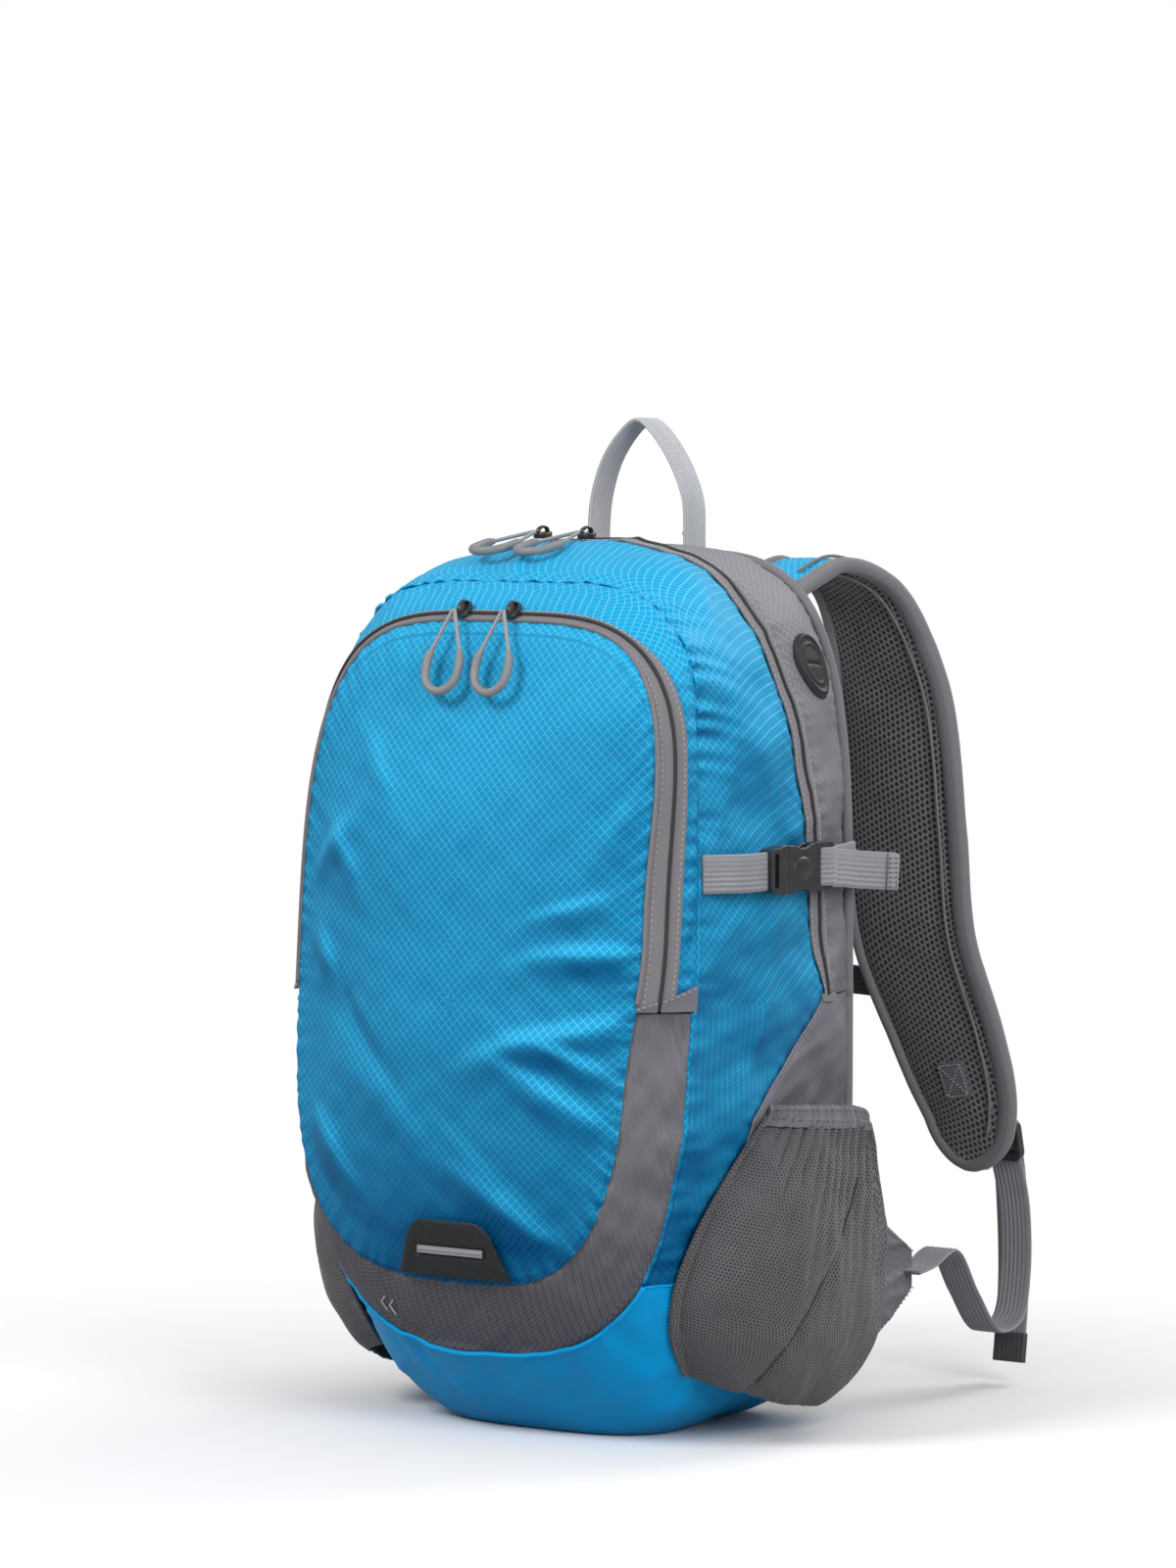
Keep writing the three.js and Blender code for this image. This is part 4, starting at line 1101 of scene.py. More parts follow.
def rolled_face(rings, step=STEP):
    """The pocket's face as rings from the end of the zip's tape, over its rounded edge and in to the middle.

    The rings start at the left end of the hinge line and run round the whole outline."""
    lower = pocket_angles(-PI, 0.0, step)
    angles = np.concatenate([lower, pocket_angles(0.0, PI, step)[1:]])
    x, z = face_outline(angles)
    share = 1 - np.linspace(0, 1, rings)[None, :] ** 1.15
    px = x[:, None] * share
    pz = ZIP_END_Z + (z[:, None] - ZIP_END_Z) * share
    disc = np.stack([px, face_y(px, pz), pz], -1)
    rim = wall_grid(angles, np.minimum(tape_end(angles), 0.97), 1.0, 6)
    grid = np.concatenate([rim[:, :-1], disc], axis=1)
    for _ in range(5):
        grid[:, 1:10] = (grid[:, :9] + 2 * grid[:, 1:10] + grid[:, 2:11]) / 4
    return grid, len(lower) - 1


def face_out(points, amount):
    """Moves the face's points out along -Y and a little from the middle."""
    outward = normals_of(points)
    outward = np.where(outward[..., 1:2] > 0, -outward, outward)
    return points + outward * amount[..., None]


def make_face():
    grid, hinge_row = rolled_face(64)
    edge = face_near_edge(grid)
    run = lengths(grid, 0)[:, :1] + 0 * edge
    gathers = 0.45 * pucker(run, edge, 10.0, 7.0, 61)
    relief = pocket_relief(grid) * np.clip(edge / 16, 0.12, 1) + gathers + 0.4
    moved = face_out(grid, relief)
    moved[-1] = moved[0]
    moved[:, -2:] = moved[:, -3:-2].mean(0)
    uv = np.stack([grid[..., 0], grid[..., 2] + 0.8 * (grid[..., 1] + 90) * (edge < 1)], -1)
    lower, upper = slice(0, hinge_row + 1), slice(hinge_row, len(grid))
    obj = lined(sheet("pocket_face_upper", moved[upper], BLUE, POCKET_THICK, uv[upper]))
    flap_blend(turn_out(obj, (0, -1, 0)), "blue_ripstop", "pocket_flap", "pocket_zip_flap_tape")
    obj = lined(sheet("pocket_face_lower", moved[lower], BLUE, POCKET_THICK, uv[lower]))
    fan(turn_out(obj, (0, -1, 0)), "blue_ripstop", "pocket_face_lower", "pocket_fold")


def wall_sheet(name, angles, end, count, material, gathers, seed):
    """A panel of the pocket's side wall, from the front seam to a place on the wall."""
    grid = wall_grid(angles, WALL_SEAM, end, count)
    across = lengths(grid, 1)
    relief = 0.5 * waves(grid, 34, seed) + 0.22 * waves(grid, 12, seed + 1) + tucked(grid, 0.6, 2.2)
    relief += gathers * pucker(lengths(grid, 0), across, 11.0, 10.0, seed + 2) * smooth_step(across / 5)
    clear = smooth_step(across / 6)
    relief = relief * clear + (body_relief(grid) - 0.9) * (1 - clear)
    return lined(sheet(name, raised(grid, relief), material, POCKET_THICK))


def make_pocket_wall():
    angles = pocket_angles(UPPER_GAP, PI - UPPER_GAP)
    obj = wall_sheet("pocket_gusset_cloth", angles, tape_start(angles), 26, BLUE, 0.8, 71)
    hand_over(obj, "front_shell", "blue_ripstop", "pocket_gusset")
    angles = pocket_angles(-PI + UPPER_GAP, -UPPER_GAP)
    fan(wall_sheet("pocket_band_cloth", angles, WALL_EDGE, 44, GREY, 0.5, 74), "grey_ripstop", "pocket_band")


def make_pocket_zip():
    angles = pocket_angles(UPPER_GAP, PI - UPPER_GAP, 1.8)
    middle = coil_place(angles)
    spans = (("gusset", tape_start(angles), middle - 0.015, 2), ("flap", middle + 0.015, tape_end(angles), 5))
    for name, start, end, column in spans:
        grid = wall_grid(angles, start, end, 8)
        grid = raised(grid, 0.5 + 0.35 * np.sin(np.linspace(0, PI, 8))[None, :] + 0.1 * waves(grid, 9, 81))
        obj = sheet(f"pocket_zip_tape_{name}", grid, TAPE, 0.9)
        row = surface_row(f"pocket_zip_stitches_{name}", grid, column, THREAD_GREY)
        if name == "gusset":
            hand_over(obj, "front_shell", "zip_tape", "pocket_zip_gusset_tape")
            hand_over(row, "front_shell", "zip_tape")
        else:
            flap_blend(obj, "zip_tape")
            flap_blend(row, "zip_tape")
    path = wall(angles, middle)
    path = path + normals_of(wall_grid(angles, middle - 0.05, middle + 0.05, 3))[:, 1] * 0.7
    coil("pocket_zip_coil", path, "front_shell", 1.1)


def make_pocket_piping():
    """The piping between the flap's tape and the face's cloth, which rolls over the pocket's edge."""
    angles = pocket_angles(0.02, PI - 0.02, 2.0)
    end = tape_end(angles)
    normals = normals_of(wall_grid(angles, end - 0.03, end, 3))[:, 1]
    flap_blend(tube("pocket_piping", wall(angles, end) + normals * 0.8, 1.3, TAPE, count=10), "zip_tape")


def cuff_points(start, end, side):
    """A cuff of the band between two places across the wall. Its height falls towards the face."""
    place = np.linspace(start, end, 18)[None, :]
    height = 0.3 + (1.2 + 12.0 * (1 - place)) * np.linspace(0, 1, 12)[:, None]
    angle = height / (FACE["top"] - ZIP_END_Z + 28 * (1 - place))
    grid = wall(angle if side > 0 else PI - angle, place)
    return raised(grid, 2.5 + 0.2 * waves(grid, 16, 76))


def make_band_cuffs():
    """The band's slanted upper ends, sewn over the zip's tapes on both sides of its coil."""
    for label, start, end in (("gusset", WALL_SEAM, 0.635), ("flap", 0.685, WALL_EDGE)):
        for name, side in SIDES:
            points = cuff_points(start, end, side)
            cuff = sheet(f"pocket_band_cuff_{label}_{name}", points, GREY, 1.5)
            row = stitches(f"pocket_band_stitches_{label}_{name}", points[-2], normals_of(points)[-2],
                           THREAD_GREY, 3.0, 2.0)
            for obj in (cuff, row):
                if label == "gusset":
                    hand_over(obj, "front_shell", "grey_ripstop")
                else:
                    flap_blend(obj, "grey_ripstop")


def make_divider():
    """The lining between the main compartment and the front pocket."""
    for name, start, end in (("upper", UPPER_GAP, 1.5), ("lower", -UPPER_GAP, -1.4)):
        rows = np.linspace(start, end, 60)
        edge = shell(rows, np.ones_like(rows))
        z = ZIP_END_Z + (edge[:, 2] - ZIP_END_Z) * 0.955
        across = np.linspace(-1, 1, 60)[None, :]
        x = edge[:, :1] * 0.95 * across
        height = np.broadcast_to(z[:, None], x.shape)
        grid = np.stack([x, front_seam_y(height) + 7, height], -1)
        grid = grid + REARWARD * (1.2 * waves(grid, 60, 95))[..., None]
        obj = sheet(f"divider_lining_{name}", grid, LINING, 1.2)
        if name == "upper":
            hand_over(obj, "front_shell", "lining", "divider_upper")
        else:
            fan(obj, "lining", "divider_lower", "divider_fold")


TAB_LOW, TAB_HIGH, SLOT_Z = 88.0, 118.0, 102.0      # heights of the light tab's edges and of its slot


def make_light_tab():
    """Rubber tab at the foot of the face, with a webbing bar for a clip-on light."""
    up = np.linspace(0, 1, 40)[None, :]
    across = np.linspace(-1, 1, 60)[:, None]
    round_off = np.sqrt(np.clip(1 - np.clip((up - 0.72) / 0.28, 0, 1) ** 2, 0.0, 1))
    half = 22 + 12 * (1 - up) + 2 * round_off
    half = half * (0.75 + 0.25 * round_off)
    x, z = half * across, np.broadcast_to(TAB_LOW + (TAB_HIGH - TAB_LOW) * up, (60, 40))
    grid = np.stack([x, face_y(x, z) - 4.4, z], -1)
    rim = np.minimum(1 - np.abs(across), np.minimum(up, 1 - up))
    crown = np.sqrt(np.clip(rim / 0.12, 0, 1)) * 1.0
    slot = 1.1 * smooth_step(1 - (np.abs(z - SLOT_Z) - 2.6) / 1.4) * smooth_step((24 - np.abs(x)) / 2)
    grid[..., 1] -= crown - slot
    obj = sheet("light_tab_rubber", grid, RUBBER, 2.2)
    hand_over(obj, "root", "black_rubber", "light_tab")
    bar_x, bar_z = np.linspace(-21, 21, 22), np.full(22, SLOT_Z)
    path = np.stack([bar_x, face_y(bar_x, bar_z) - 5.2, bar_z], -1)
    bar = webbing("light_tab_bar", path, UPWARD, WEB_MID, width=4.0, thick=1.2, step=1.5, ribs=2)
    hand_over(bar, "root", "grey_webbing")


def make_band_mark():
    """A small woven-in mark of two plain chevrons on the band."""
    for i, offset in enumerate((0.0, 5.0)):
        t = np.linspace(-1, 1, 15)
        angle = -2.05 + (offset + 3.0 * np.abs(t)) / 118
        path = wall(angle, 0.5 + 0.11 * t) + np.array([0, -0.4, -1.4])
        obj = tube(f"band_mark_{i}", path, 0.5, THREAD_GREY, count=6)
        hand_over(obj, "root", "grey_ripstop")


# ------------------------------------------------------------------ side pockets
POCKET_REAR, POCKET_REAR_FOOT = 0.03, 0.13          # stations of the mesh pocket's two side edges
POCKET_FRONT_LOW, POCKET_FRONT_MIDDLE, POCKET_FRONT_TOP = 0.8, 0.93, 0.7
POCKET_STAND_OFF = 1.8
MESH_WIDTH = 130            # width of the mesh pocket laid flat, for its gathers
MESH_TOP = 0.975            # where the mesh ends, inside the elastic hem


def side_pocket(across, up):
    """Points of the right gathered pocket, across from rear (0) to front (1) and up from foot (0) to top (1)."""
    across, up = np.broadcast_arrays(np.asarray(across, float), np.asarray(up, float))
    low, middle, top = POCKET_FRONT_LOW, POCKET_FRONT_MIDDLE, POCKET_FRONT_TOP
    inside = np.clip(up, 0, 1)
    front = low + (top - low) * up + 4 * inside * (1 - inside) * (middle - (low + top) / 2)
    rear = POCKET_REAR + (POCKET_REAR_FOOT - POCKET_REAR) * np.clip(1 - up / 0.35, 0, 1) ** 2
    station = rear + (front - rear) * across
    foot = 20 + 18 * across**1.2 + 9 * (1 - across) ** 4 - 5 * np.sin(PI * np.clip(across, 0, 1))
    head = 160 + 12 * across
    height = foot + (head - foot) * up
    angle = angle_at_height(lambda a: shell(a, station), height)
    belly = np.clip(np.sin(PI * np.minimum(1, across * 1.02 + 0.02)), 0, 1) ** 0.35
    rise = np.sin(PI * np.clip(up * 0.85 + 0.06, 0, 1) ** 0.6) ** 0.65
    belly = POCKET_STAND_OFF + belly * (7 + 32 * rise)
    outward = np.stack([np.ones_like(up), np.zeros_like(up), -0.25 * (1 - up)], -1)
    outward /= np.linalg.norm(outward, axis=-1, keepdims=True)
    return shell(angle, station) + outward * belly[..., None]


def pocket_surface(across, up, side, lift):
    return sided(raised(side_pocket(across, up), lift), side)


def points_on_mesh(wide, up):
    """Flat places on the side pocket's cloth, in millimetres."""
    wide, up = np.broadcast_arrays(wide, up * MESH_WIDTH)
    return np.stack([wide, 0 * wide, up], -1)


def dart_place(up):
    """The slanted dart across the side pocket."""
    return 0.5 + 0.42 * (0.85 - up)


def make_side_pockets():
    across = np.linspace(0, 1, 96)[:, None]
    up = np.linspace(0, MESH_TOP, 80)[None, :]
    wide = across * MESH_WIDTH
    below_hem = (MESH_TOP - up) * 134
    uneven = 2.2 * waves(wide[..., None] * RIGHTWARD, 40, 101)
    rows = np.sin((wide + 7 * up) * 2 * PI / 11.5 + uneven)
    drawn = np.exp(-below_hem / 42) * smooth_step(np.sin(PI * np.clip(across, 0, 1)) * 3)
    gathers = -4.0 * (1 - np.abs(rows)) ** 1.5 * drawn
    folds = creases(points_on_mesh(wide, up), 30, 105, stretch=((0.15, 0, 1.0), 5.0))
    gathers = gathers + 2.4 * folds * (0.3 + up)
    dart = np.abs(across - dart_place(up)) * MESH_WIDTH
    dart = -1.6 * np.exp(-((dart / 2.2) ** 2)) * smooth_step((0.86 - up) / 0.1)
    points = side_pocket(across, up)
    relief = gathers + dart + 0.8 * waves(points, 30, 102) + 0.5 * creases(points, 24, 103)
    for name, side in SIDES:
        obj = sheet(f"side_pocket_cloth_{name}", pocket_surface(across, up, side, 0.4 + relief), MESH, 0.9)
        hand_over(obj, "root", "pocket_mesh", f"side_pocket_mesh_{name}")
        make_pocket_hem(name, side)
        edge = pocket_surface(np.array([[0.985, 1.0]]), np.linspace(0, 1.0, 60)[:, None], side, 0.8)[:, 1]
        hand_over(tube(f"side_pocket_edge_{name}", edge, 1.0, MESH, count=8), "root", "pocket_mesh")
        run = np.linspace(0.06, 0.86, 50)[:, None]
        line = pocket_surface(dart_place(run) + np.array([[0, 0.002]]), run, side, 0.2)[:, 0]
        hand_over(tube(f"side_pocket_dart_{name}", line, 0.5, THREAD_DARK, count=6), "root", "pocket_mesh")


def make_pocket_hem(name, side):
    across = np.linspace(0, 1, 170)[:, None]
    up = np.linspace(0.965, 1.045, 12)[None, :]
    ripple = 0.55 * pucker(across * MESH_WIDTH, 0, 5.5, 1, 104) * np.ones_like(up)
    crown = 1.1 * np.abs(np.sin(np.linspace(0, 2 * PI, 12)))[None, :] ** 0.6
    grid = pocket_surface(across, up, side, 1.3 + (ripple + crown))
    obj = sheet(f"side_pocket_hem_{name}", grid, ELASTIC, 1.9)
    hand_over(obj, "root", "elastic", f"side_pocket_elastic_{name}")
    outward = 1.0 if normals_of(grid)[..., 0].mean() * side > 0 else -1.0
    for row, column in enumerate((3, 8)):
        line = stitches(f"side_pocket_hem_stitches_{name}_{row}", grid[:, column],
                        normals_of(grid)[:, column] * outward, THREAD_DARK, 2.6, 1.7, 0.45, 0.5)
        hand_over(line, "root", "elastic")


# ------------------------------------------------------------------ rubber, webbing and buckles
STRAP_Z = 300.0
BUCKLE_X, BUCKLE_DEPTH, BUCKLE_HALF = 137.5, 8.0, 13.0
PLUG_FRONT, MOUTH, BUCKLE_REAR = -25.0, -8.5, 33.0
SOCKET_SHELL_END = 15.0     # where the socket's two thin walls meet its ladder bars
STRAP_STEP = 1.6


def make_cable_port():
    """Teardrop rubber patch with a raised rim, a slit and a moulded ring."""
    turn = np.linspace(0, 2 * PI, 97)
    radius = np.linspace(0.001, 1, 40)
    t, rad = np.meshgrid(turn, radius, indexing="ij")
    length = np.where(np.cos(t) > 0, 1 - 0.10 * np.abs(np.sin(t)), 0.8)
    angle = 0.69 + 0.075 * rad * np.sin(t) + 0.012 * rad * np.cos(t)
    station = 0.165 + 0.11 * rad * length * np.cos(t)
    base = shell(angle, station)
    rim = 1.0 * np.exp(-(((rad - 0.86) / 0.07) ** 2)) + 0.55 * np.exp(-(((rad - 0.60) / 0.035) ** 2))
    groove = 0.9 * np.exp(-((rad * np.sin(t) / 0.05) ** 2)) * smooth_step((0.5 - rad) / 0.06)
    fall = -1.4 * smooth_step((rad - 0.92) / 0.08)
    outward = np.array([0.80, -0.05, 0.58])
    points = base + outward * (2.5 + rim - groove + fall)[..., None]
    obj = sheet("cable_port_rubber", points, RUBBER, 2.4)
    hand_over(obj, "root", "black_rubber", "cable_port")
    edge = stitches("cable_port_stitches", points[:, 37], outward, THREAD_DARK, 2.6, 1.8)
    hand_over(edge, "root", "black_rubber")


HAUL_LOOP = [(-30, 461), (-30, 468), (-28, 490), (-20, 512), (-6, 528.5), (1, 532), (8, 528.5), (22, 512),
             (32, 490), (33, 468), (33, 461)]          # (x, z)


def make_haul_loop():
    path = [(x, 60, z) for x, z in HAUL_LOOP]
    obj = webbing("haul_loop_webbing", path, REARWARD, WEB, thick=2.2, step=1.8)
    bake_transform(obj)
    takes_place(obj, ("haul_loop",))
    for name, x in (("right", 33.0), ("left", -30.0)):
        line = np.array([[x - 1.4, 51, 471.5], [x - 1.4, 69, 471.0]])
        tack = stitches(f"haul_loop_tack_{name}", line, np.array([1.0, 0, 0.2]), THREAD_DARK, 1.5, 1.3, 1.8)
        hand_over(tack, "root", "grey_webbing")


def plate(name, outline, depth, x, side, bevel, holes=()):
    """A plastic plate from an outline of (y, z) points, centred at x and mirrored for the left."""
    place = Matrix(((0, 0, side, x * side), (1, 0, 0, 0), (0, 1, 0, STRAP_Z), (0, 0, 0, 1)))
    obj = rounded_solid(name, outline, depth, PLASTIC, bevel, place, holes)
    if side < 0:
        fix_normals(obj)
    return obj


def plug_outline():
    """Front plug: a webbing bar whose shoulders narrow in a curve to the socket's mouth."""
    h = BUCKLE_HALF
    lower = [(MOUTH - 0.4, -h + 0.6), (MOUTH - 5, -h + 0.2), (MOUTH - 9, -h + 1.2),
             (PLUG_FRONT + 3, -h + 1.4), (PLUG_FRONT + 0.8, -h + 2.4), (PLUG_FRONT, -h + 5)]
    return lower + [(y, -z) for y, z in reversed(lower)]


def prong_outline(centre, half, tip):
    return [(MOUTH - 1.5, centre - half), (tip - 2, centre - half), (tip, centre - half + 1.2),
            (tip, centre + half - 1.2), (tip - 2, centre + half), (MOUTH - 1.5, centre + half)]


def socket_outline():
    """Socket body seen from the side, waisted where the prongs are pinched."""
    h = BUCKLE_HALF
    lower = [(BUCKLE_REAR, -h + 2.2), (BUCKLE_REAR - 2, -h + 0.4), (17, -h), (12, -h + 0.4), (8, -h + 2.1),
             (2, -h + 2.3), (-3, -h + 0.6), (MOUTH, -h + 0.4)]
    return lower + [(y, -z) for y, z in reversed(lower)]


def dome(name, side):
    """The glossy raised centre of the socket."""
    turn = np.linspace(0, 2 * PI, 49)
    radius = np.linspace(0.001, 1, 14)
    t, rad = np.meshgrid(turn, radius, indexing="ij")
    y = 4.0 + 9.0 * rad * np.cos(t)
    z = STRAP_Z + 6.6 * rad * np.sin(t)
    x = BUCKLE_X + BUCKLE_DEPTH / 2 - 0.3 + 1.5 * np.sqrt(np.clip(1 - rad**2, 0, 1)) - 0.4 * rad**8
    return sheet(name, sided(np.stack([x, y, z], -1), side), PLASTIC, 0.8)


def make_buckle(name, side):
    wide = BUCKLE_HALF * 2
    slot = [rounded_rectangle(3.6, wide - 8, 1.2, (PLUG_FRONT + 5.2, 0))]
    plug = plate(f"buckle_plug_{name}", plug_outline(), BUCKLE_DEPTH, BUCKLE_X, side, 1.2, slot)
    hand_over(plug, f"plug_{name}", "black_plastic", f"compression_plug_{name}")
    for k in (-1, 0, 1):
        tip = MOUTH + (19 if k else 14)
        outline = prong_outline(k * 8.0, 1.8, tip)
        prong = plate(f"buckle_prong_{name}_{k + 1}", outline, 2.6, BUCKLE_X, side, 0.4)
        hand_over(prong, f"plug_{name}", "black_plastic")

    front = [(min(y, SOCKET_SHELL_END), z) for y, z in socket_outline() if y < 16]
    front = [(SOCKET_SHELL_END, -BUCKLE_HALF + 0.3)] + front + [(SOCKET_SHELL_END, BUCKLE_HALF - 0.3)]
    for label, offset in (("outer", 1), ("inner", -1)):
        wall_x = BUCKLE_X + offset * (BUCKLE_DEPTH / 2 + 1.9) / 2
        half_shell = plate(f"buckle_socket_{label}_{name}", front, BUCKLE_DEPTH / 2 - 1.9, wall_x, side, 0.7)
        hand_over(half_shell, "front_shell", "black_plastic")
    rear = rounded_rectangle(BUCKLE_REAR - 13.6, wide - 0.4, 2.6, ((BUCKLE_REAR + 13.6) / 2, 0))
    slots = [rounded_rectangle(2.9, wide - 7, 1.1, (y, 0)) for y in (22.6, 28.4)]
    ladder = plate(f"buckle_socket_ladder_{name}", rear, BUCKLE_DEPTH - 0.6, BUCKLE_X, side, 1.1, slots)
    hand_over(ladder, "front_shell", "black_plastic", f"compression_socket_{name}")
    hand_over(dome(f"buckle_dome_{name}", side), "front_shell", "black_plastic")


def side_x(y, z):
    """The shell's half width at a depth and height above the zip ends."""
    angles = np.linspace(0.0, 1.2, 400)
    if y < zip_y(z):
        station = SHELL_ZIP + (1 - SHELL_ZIP) * (zip_y(z) - y) / (zip_y(z) - front_seam_y(z))
    else:
        station = SHELL_ZIP * (REAR_SEAM_Y - y) / (REAR_SEAM_Y - zip_y(z))
    curve = shell(angles, np.full_like(angles, station))
    return float(np.interp(z, curve[:, 2], curve[:, 0]))


def strap(name, path, side, thick, step=STRAP_STEP, across=UPWARD):
    """Mid-grey webbing along a path given for the right side."""
    return webbing(name, sided(np.array(path, float), side), across, WEB_MID, thick, step)


def make_compression_stub(name, side):
    """The webbing between the front seam and the plug."""
    seam_x = side_x(-58, STRAP_Z)
    path = [(seam_x + 0.6, -62, STRAP_Z), (seam_x + 5, -55, STRAP_Z), (BUCKLE_X - 1.2, -44, STRAP_Z),
            (BUCKLE_X, -34, STRAP_Z), (BUCKLE_X, PLUG_FRONT + 4, STRAP_Z)]
    obj = strap(f"compression_front_{name}", path, side, 2.8)
    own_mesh(obj)
    hand_over(obj, "front_shell", "grey_webbing", f"compression_stub_{name}")


def make_compression_strap(name, side):
    """The webbing from the socket's ladder bars to the rear seam."""
    path = [(BUCKLE_X + 2.4, 20.5, STRAP_Z), (BUCKLE_X + 5.6, 25.5, STRAP_Z), (BUCKLE_X + 4.6, 32, STRAP_Z),
            (BUCKLE_X, 40, STRAP_Z), (BUCKLE_X - 5, 56, STRAP_Z), (126.5, 74, STRAP_Z)]
    obj = strap(f"compression_rear_{name}", path, side, 2.0)
    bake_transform(obj)
    takes_place(obj, (f"compression_webbing_{name}",))


def make_compression_tail(name, side):
    """The loose tail behind the ladder bars, with its sewn hem."""
    path = [(BUCKLE_X + 4.5, 30, STRAP_Z - 1), (BUCKLE_X + 1.5, 44, STRAP_Z - 2),
            (BUCKLE_X - 2, 62, STRAP_Z - 4), (133, 84, STRAP_Z - 6), (131.5, 106, STRAP_Z - 8)]
    obj = strap(f"compression_tail_{name}", path, side, 2.0)
    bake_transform(obj)
    takes_place(obj, ())
    end = resample(sided(np.array(path, float), side), STRAP_STEP)
    hem = webbing(f"compression_tail_hem_{name}", end[-8:] + (1.5 * side, 0, 0), UPWARD, WEB_MID,
                  thick=1.8, step=STRAP_STEP, width=WEBBING - 0.6)
    hand_over(hem, "root", "grey_webbing")
    for row, k in enumerate((-7, -3)):
        x = end[k, 0] + 2.6 * side
        line = np.array([[x, end[k, 1], STRAP_Z - 8 - 8.5], [x, end[k, 1], STRAP_Z - 8 + 8.5]])
        row = stitches(f"compression_hem_stitches_{name}_{row}", line, RIGHTWARD * side, THREAD_DARK, 2.2, 1.5)
        hand_over(row, "root", "grey_webbing")


# ------------------------------------------------------------------ shoulder harness and back
PAD_PATH = [(64, 83, 440), (66, 94, 446), (72, 116, 454), (80, 146, 440), (87, 168, 390), (91, 175, 310),
            (95, 180, 250), (108, 194, 195), (115, 205, 155), (114, 211, 124)]
PAD_WIDTHS = [40, 44, 56, 68, 73, 74, 72, 69, 62, 36]
PAD_THICK = 9.0
PAD_START = 3.4             # half thickness at the crown before the padding swells
PAD_COLUMNS, FORM_COLUMNS = 29, 13      # grid points across a pad, and across the form that the simulation swells
CLOTH_STEPS = 20
BACK_ROWS, BACK_COLUMNS = 64, 33        # grid points of the back panel's form
PANEL_ROWS, PANEL_COLUMNS = 190, 110    # and of the panel itself
LOCK = np.array([122.0, 226.0, 137.0])
STERNUM_Z, STERNUM_Y = 224.0, 190.0


def pad_path(side, step=2.2):
    return resample(sided(np.array(PAD_PATH, float), side), step)


def pad_widths(path):
    """Width along the pad, with a rounded tip at its lower end."""
    run = lengths(path[:, None], 0)[:, 0]
    width = np.interp(run, np.linspace(0, run[-1], len(PAD_WIDTHS)), PAD_WIDTHS)
    kernel = np.ones(15) / 15
    width = np.convolve(np.pad(width, 7, mode="edge"), kernel, mode="valid")
    tip = np.clip((run - (run[-1] - 20)) / 20, 0, 0.985)
    return width * np.sqrt(1 - tip**2), run


def pad_frames(path):
    tangent, across, normal = frames_along(path, RIGHTWARD)
    return tangent, across, -normal if normal[len(path) // 2, 1] < 0 else normal


def resized(grid, rows, columns):
    """A grid of vectors stretched to another number of rows and columns."""
    for axis, count in ((0, rows), (1, columns)):
        place = np.linspace(0, grid.shape[axis] - 1, count)
        low = np.minimum(place.astype(int), grid.shape[axis] - 2)
        part = (place - low).reshape((-1, 1, 1) if axis == 0 else (1, -1, 1))
        grid = np.take(grid, low, axis) * (1 - part) + np.take(grid, low + 1, axis) * part
    return grid


def inflated(front, back, sewn, pressure, cap):
    """How far a cloth simulation moves the two faces of a closed padded form, at most cap.

    front and back are grids that share their first and last columns; sewn marks the points that stay."""
    ring = np.concatenate([front, back[:, -2:0:-1]], axis=1)
    held = np.concatenate([sewn, sewn[:, -2:0:-1]], axis=1)
    rows, around = ring.shape[:2]
    index = np.arange(rows * around).reshape(rows, around)
    beside = np.roll(index, -1, 1)
    quads = np.stack([index[:-1], index[1:], beside[1:], beside[:-1]], -1).reshape(-1, 4).tolist()
    ends = [index[0].tolist(), index[-1][::-1].tolist()]
    form = link_mesh("padding_form", ring.reshape(-1, 3), quads + ends, None, SPACER)
    fix_normals(form)
    group = form.vertex_groups.new(name="sewn")
    group.add([int(i) for i in np.flatnonzero(held)], 1.0, "REPLACE")
    cloth = form.modifiers.new("padding", "CLOTH").settings
    cloth.vertex_group_mass = "sewn"
    cloth.use_pressure = True
    cloth.uniform_pressure_force = pressure
    cloth.effector_weights.gravity = 0
    for step in range(1, CLOTH_STEPS + 1):
        bpy.context.scene.frame_set(step)
    shape = form.evaluated_get(bpy.context.evaluated_depsgraph_get())
    moved = vertices_of(shape).reshape(ring.shape)
    bpy.context.scene.frame_set(1)
    bpy.data.objects.remove(form)
    shift = moved - ring
    size = np.linalg.norm(shift, axis=-1, keepdims=True)
    shift *= np.minimum(1, cap / np.maximum(size, 1e-6))
    columns = front.shape[1]
    zero = np.zeros((rows, 1, 3))
    return shift[:, :columns], np.concatenate([zero, shift[:, columns:][:, ::-1], zero], axis=1)


def pad_faces(path, width, columns):
    """The inner and outer faces of a shoulder pad before its padding swells."""
    _, across, normal = pad_frames(path)
    place = np.linspace(-1, 1, columns)
    middle = path[:, None] + across[:, None] * (width[:, None] / 2 * 0.985 * place[None])[..., None]
    depth = normal[:, None] * (PAD_START * (1 - np.abs(place) ** 4) ** 0.6)[None, :, None]
    return middle - depth, middle + depth


def with_edges(sewn):
    """Marks the points along all four edges of a grid as sewn too."""
    sewn[[0, -1]] = True
    sewn[:, [0, -1]] = True
    return sewn


def shoulder_padding():
    """The swelling of the right shoulder pad's inner and outer faces."""
    path = pad_path(1.0, 6.5)
    width, _ = pad_widths(path)
    inner, outer = pad_faces(path, width, FORM_COLUMNS)
    return inflated(inner, outer, with_edges(np.zeros(inner.shape[:2], bool)), 4.0, 4.5)


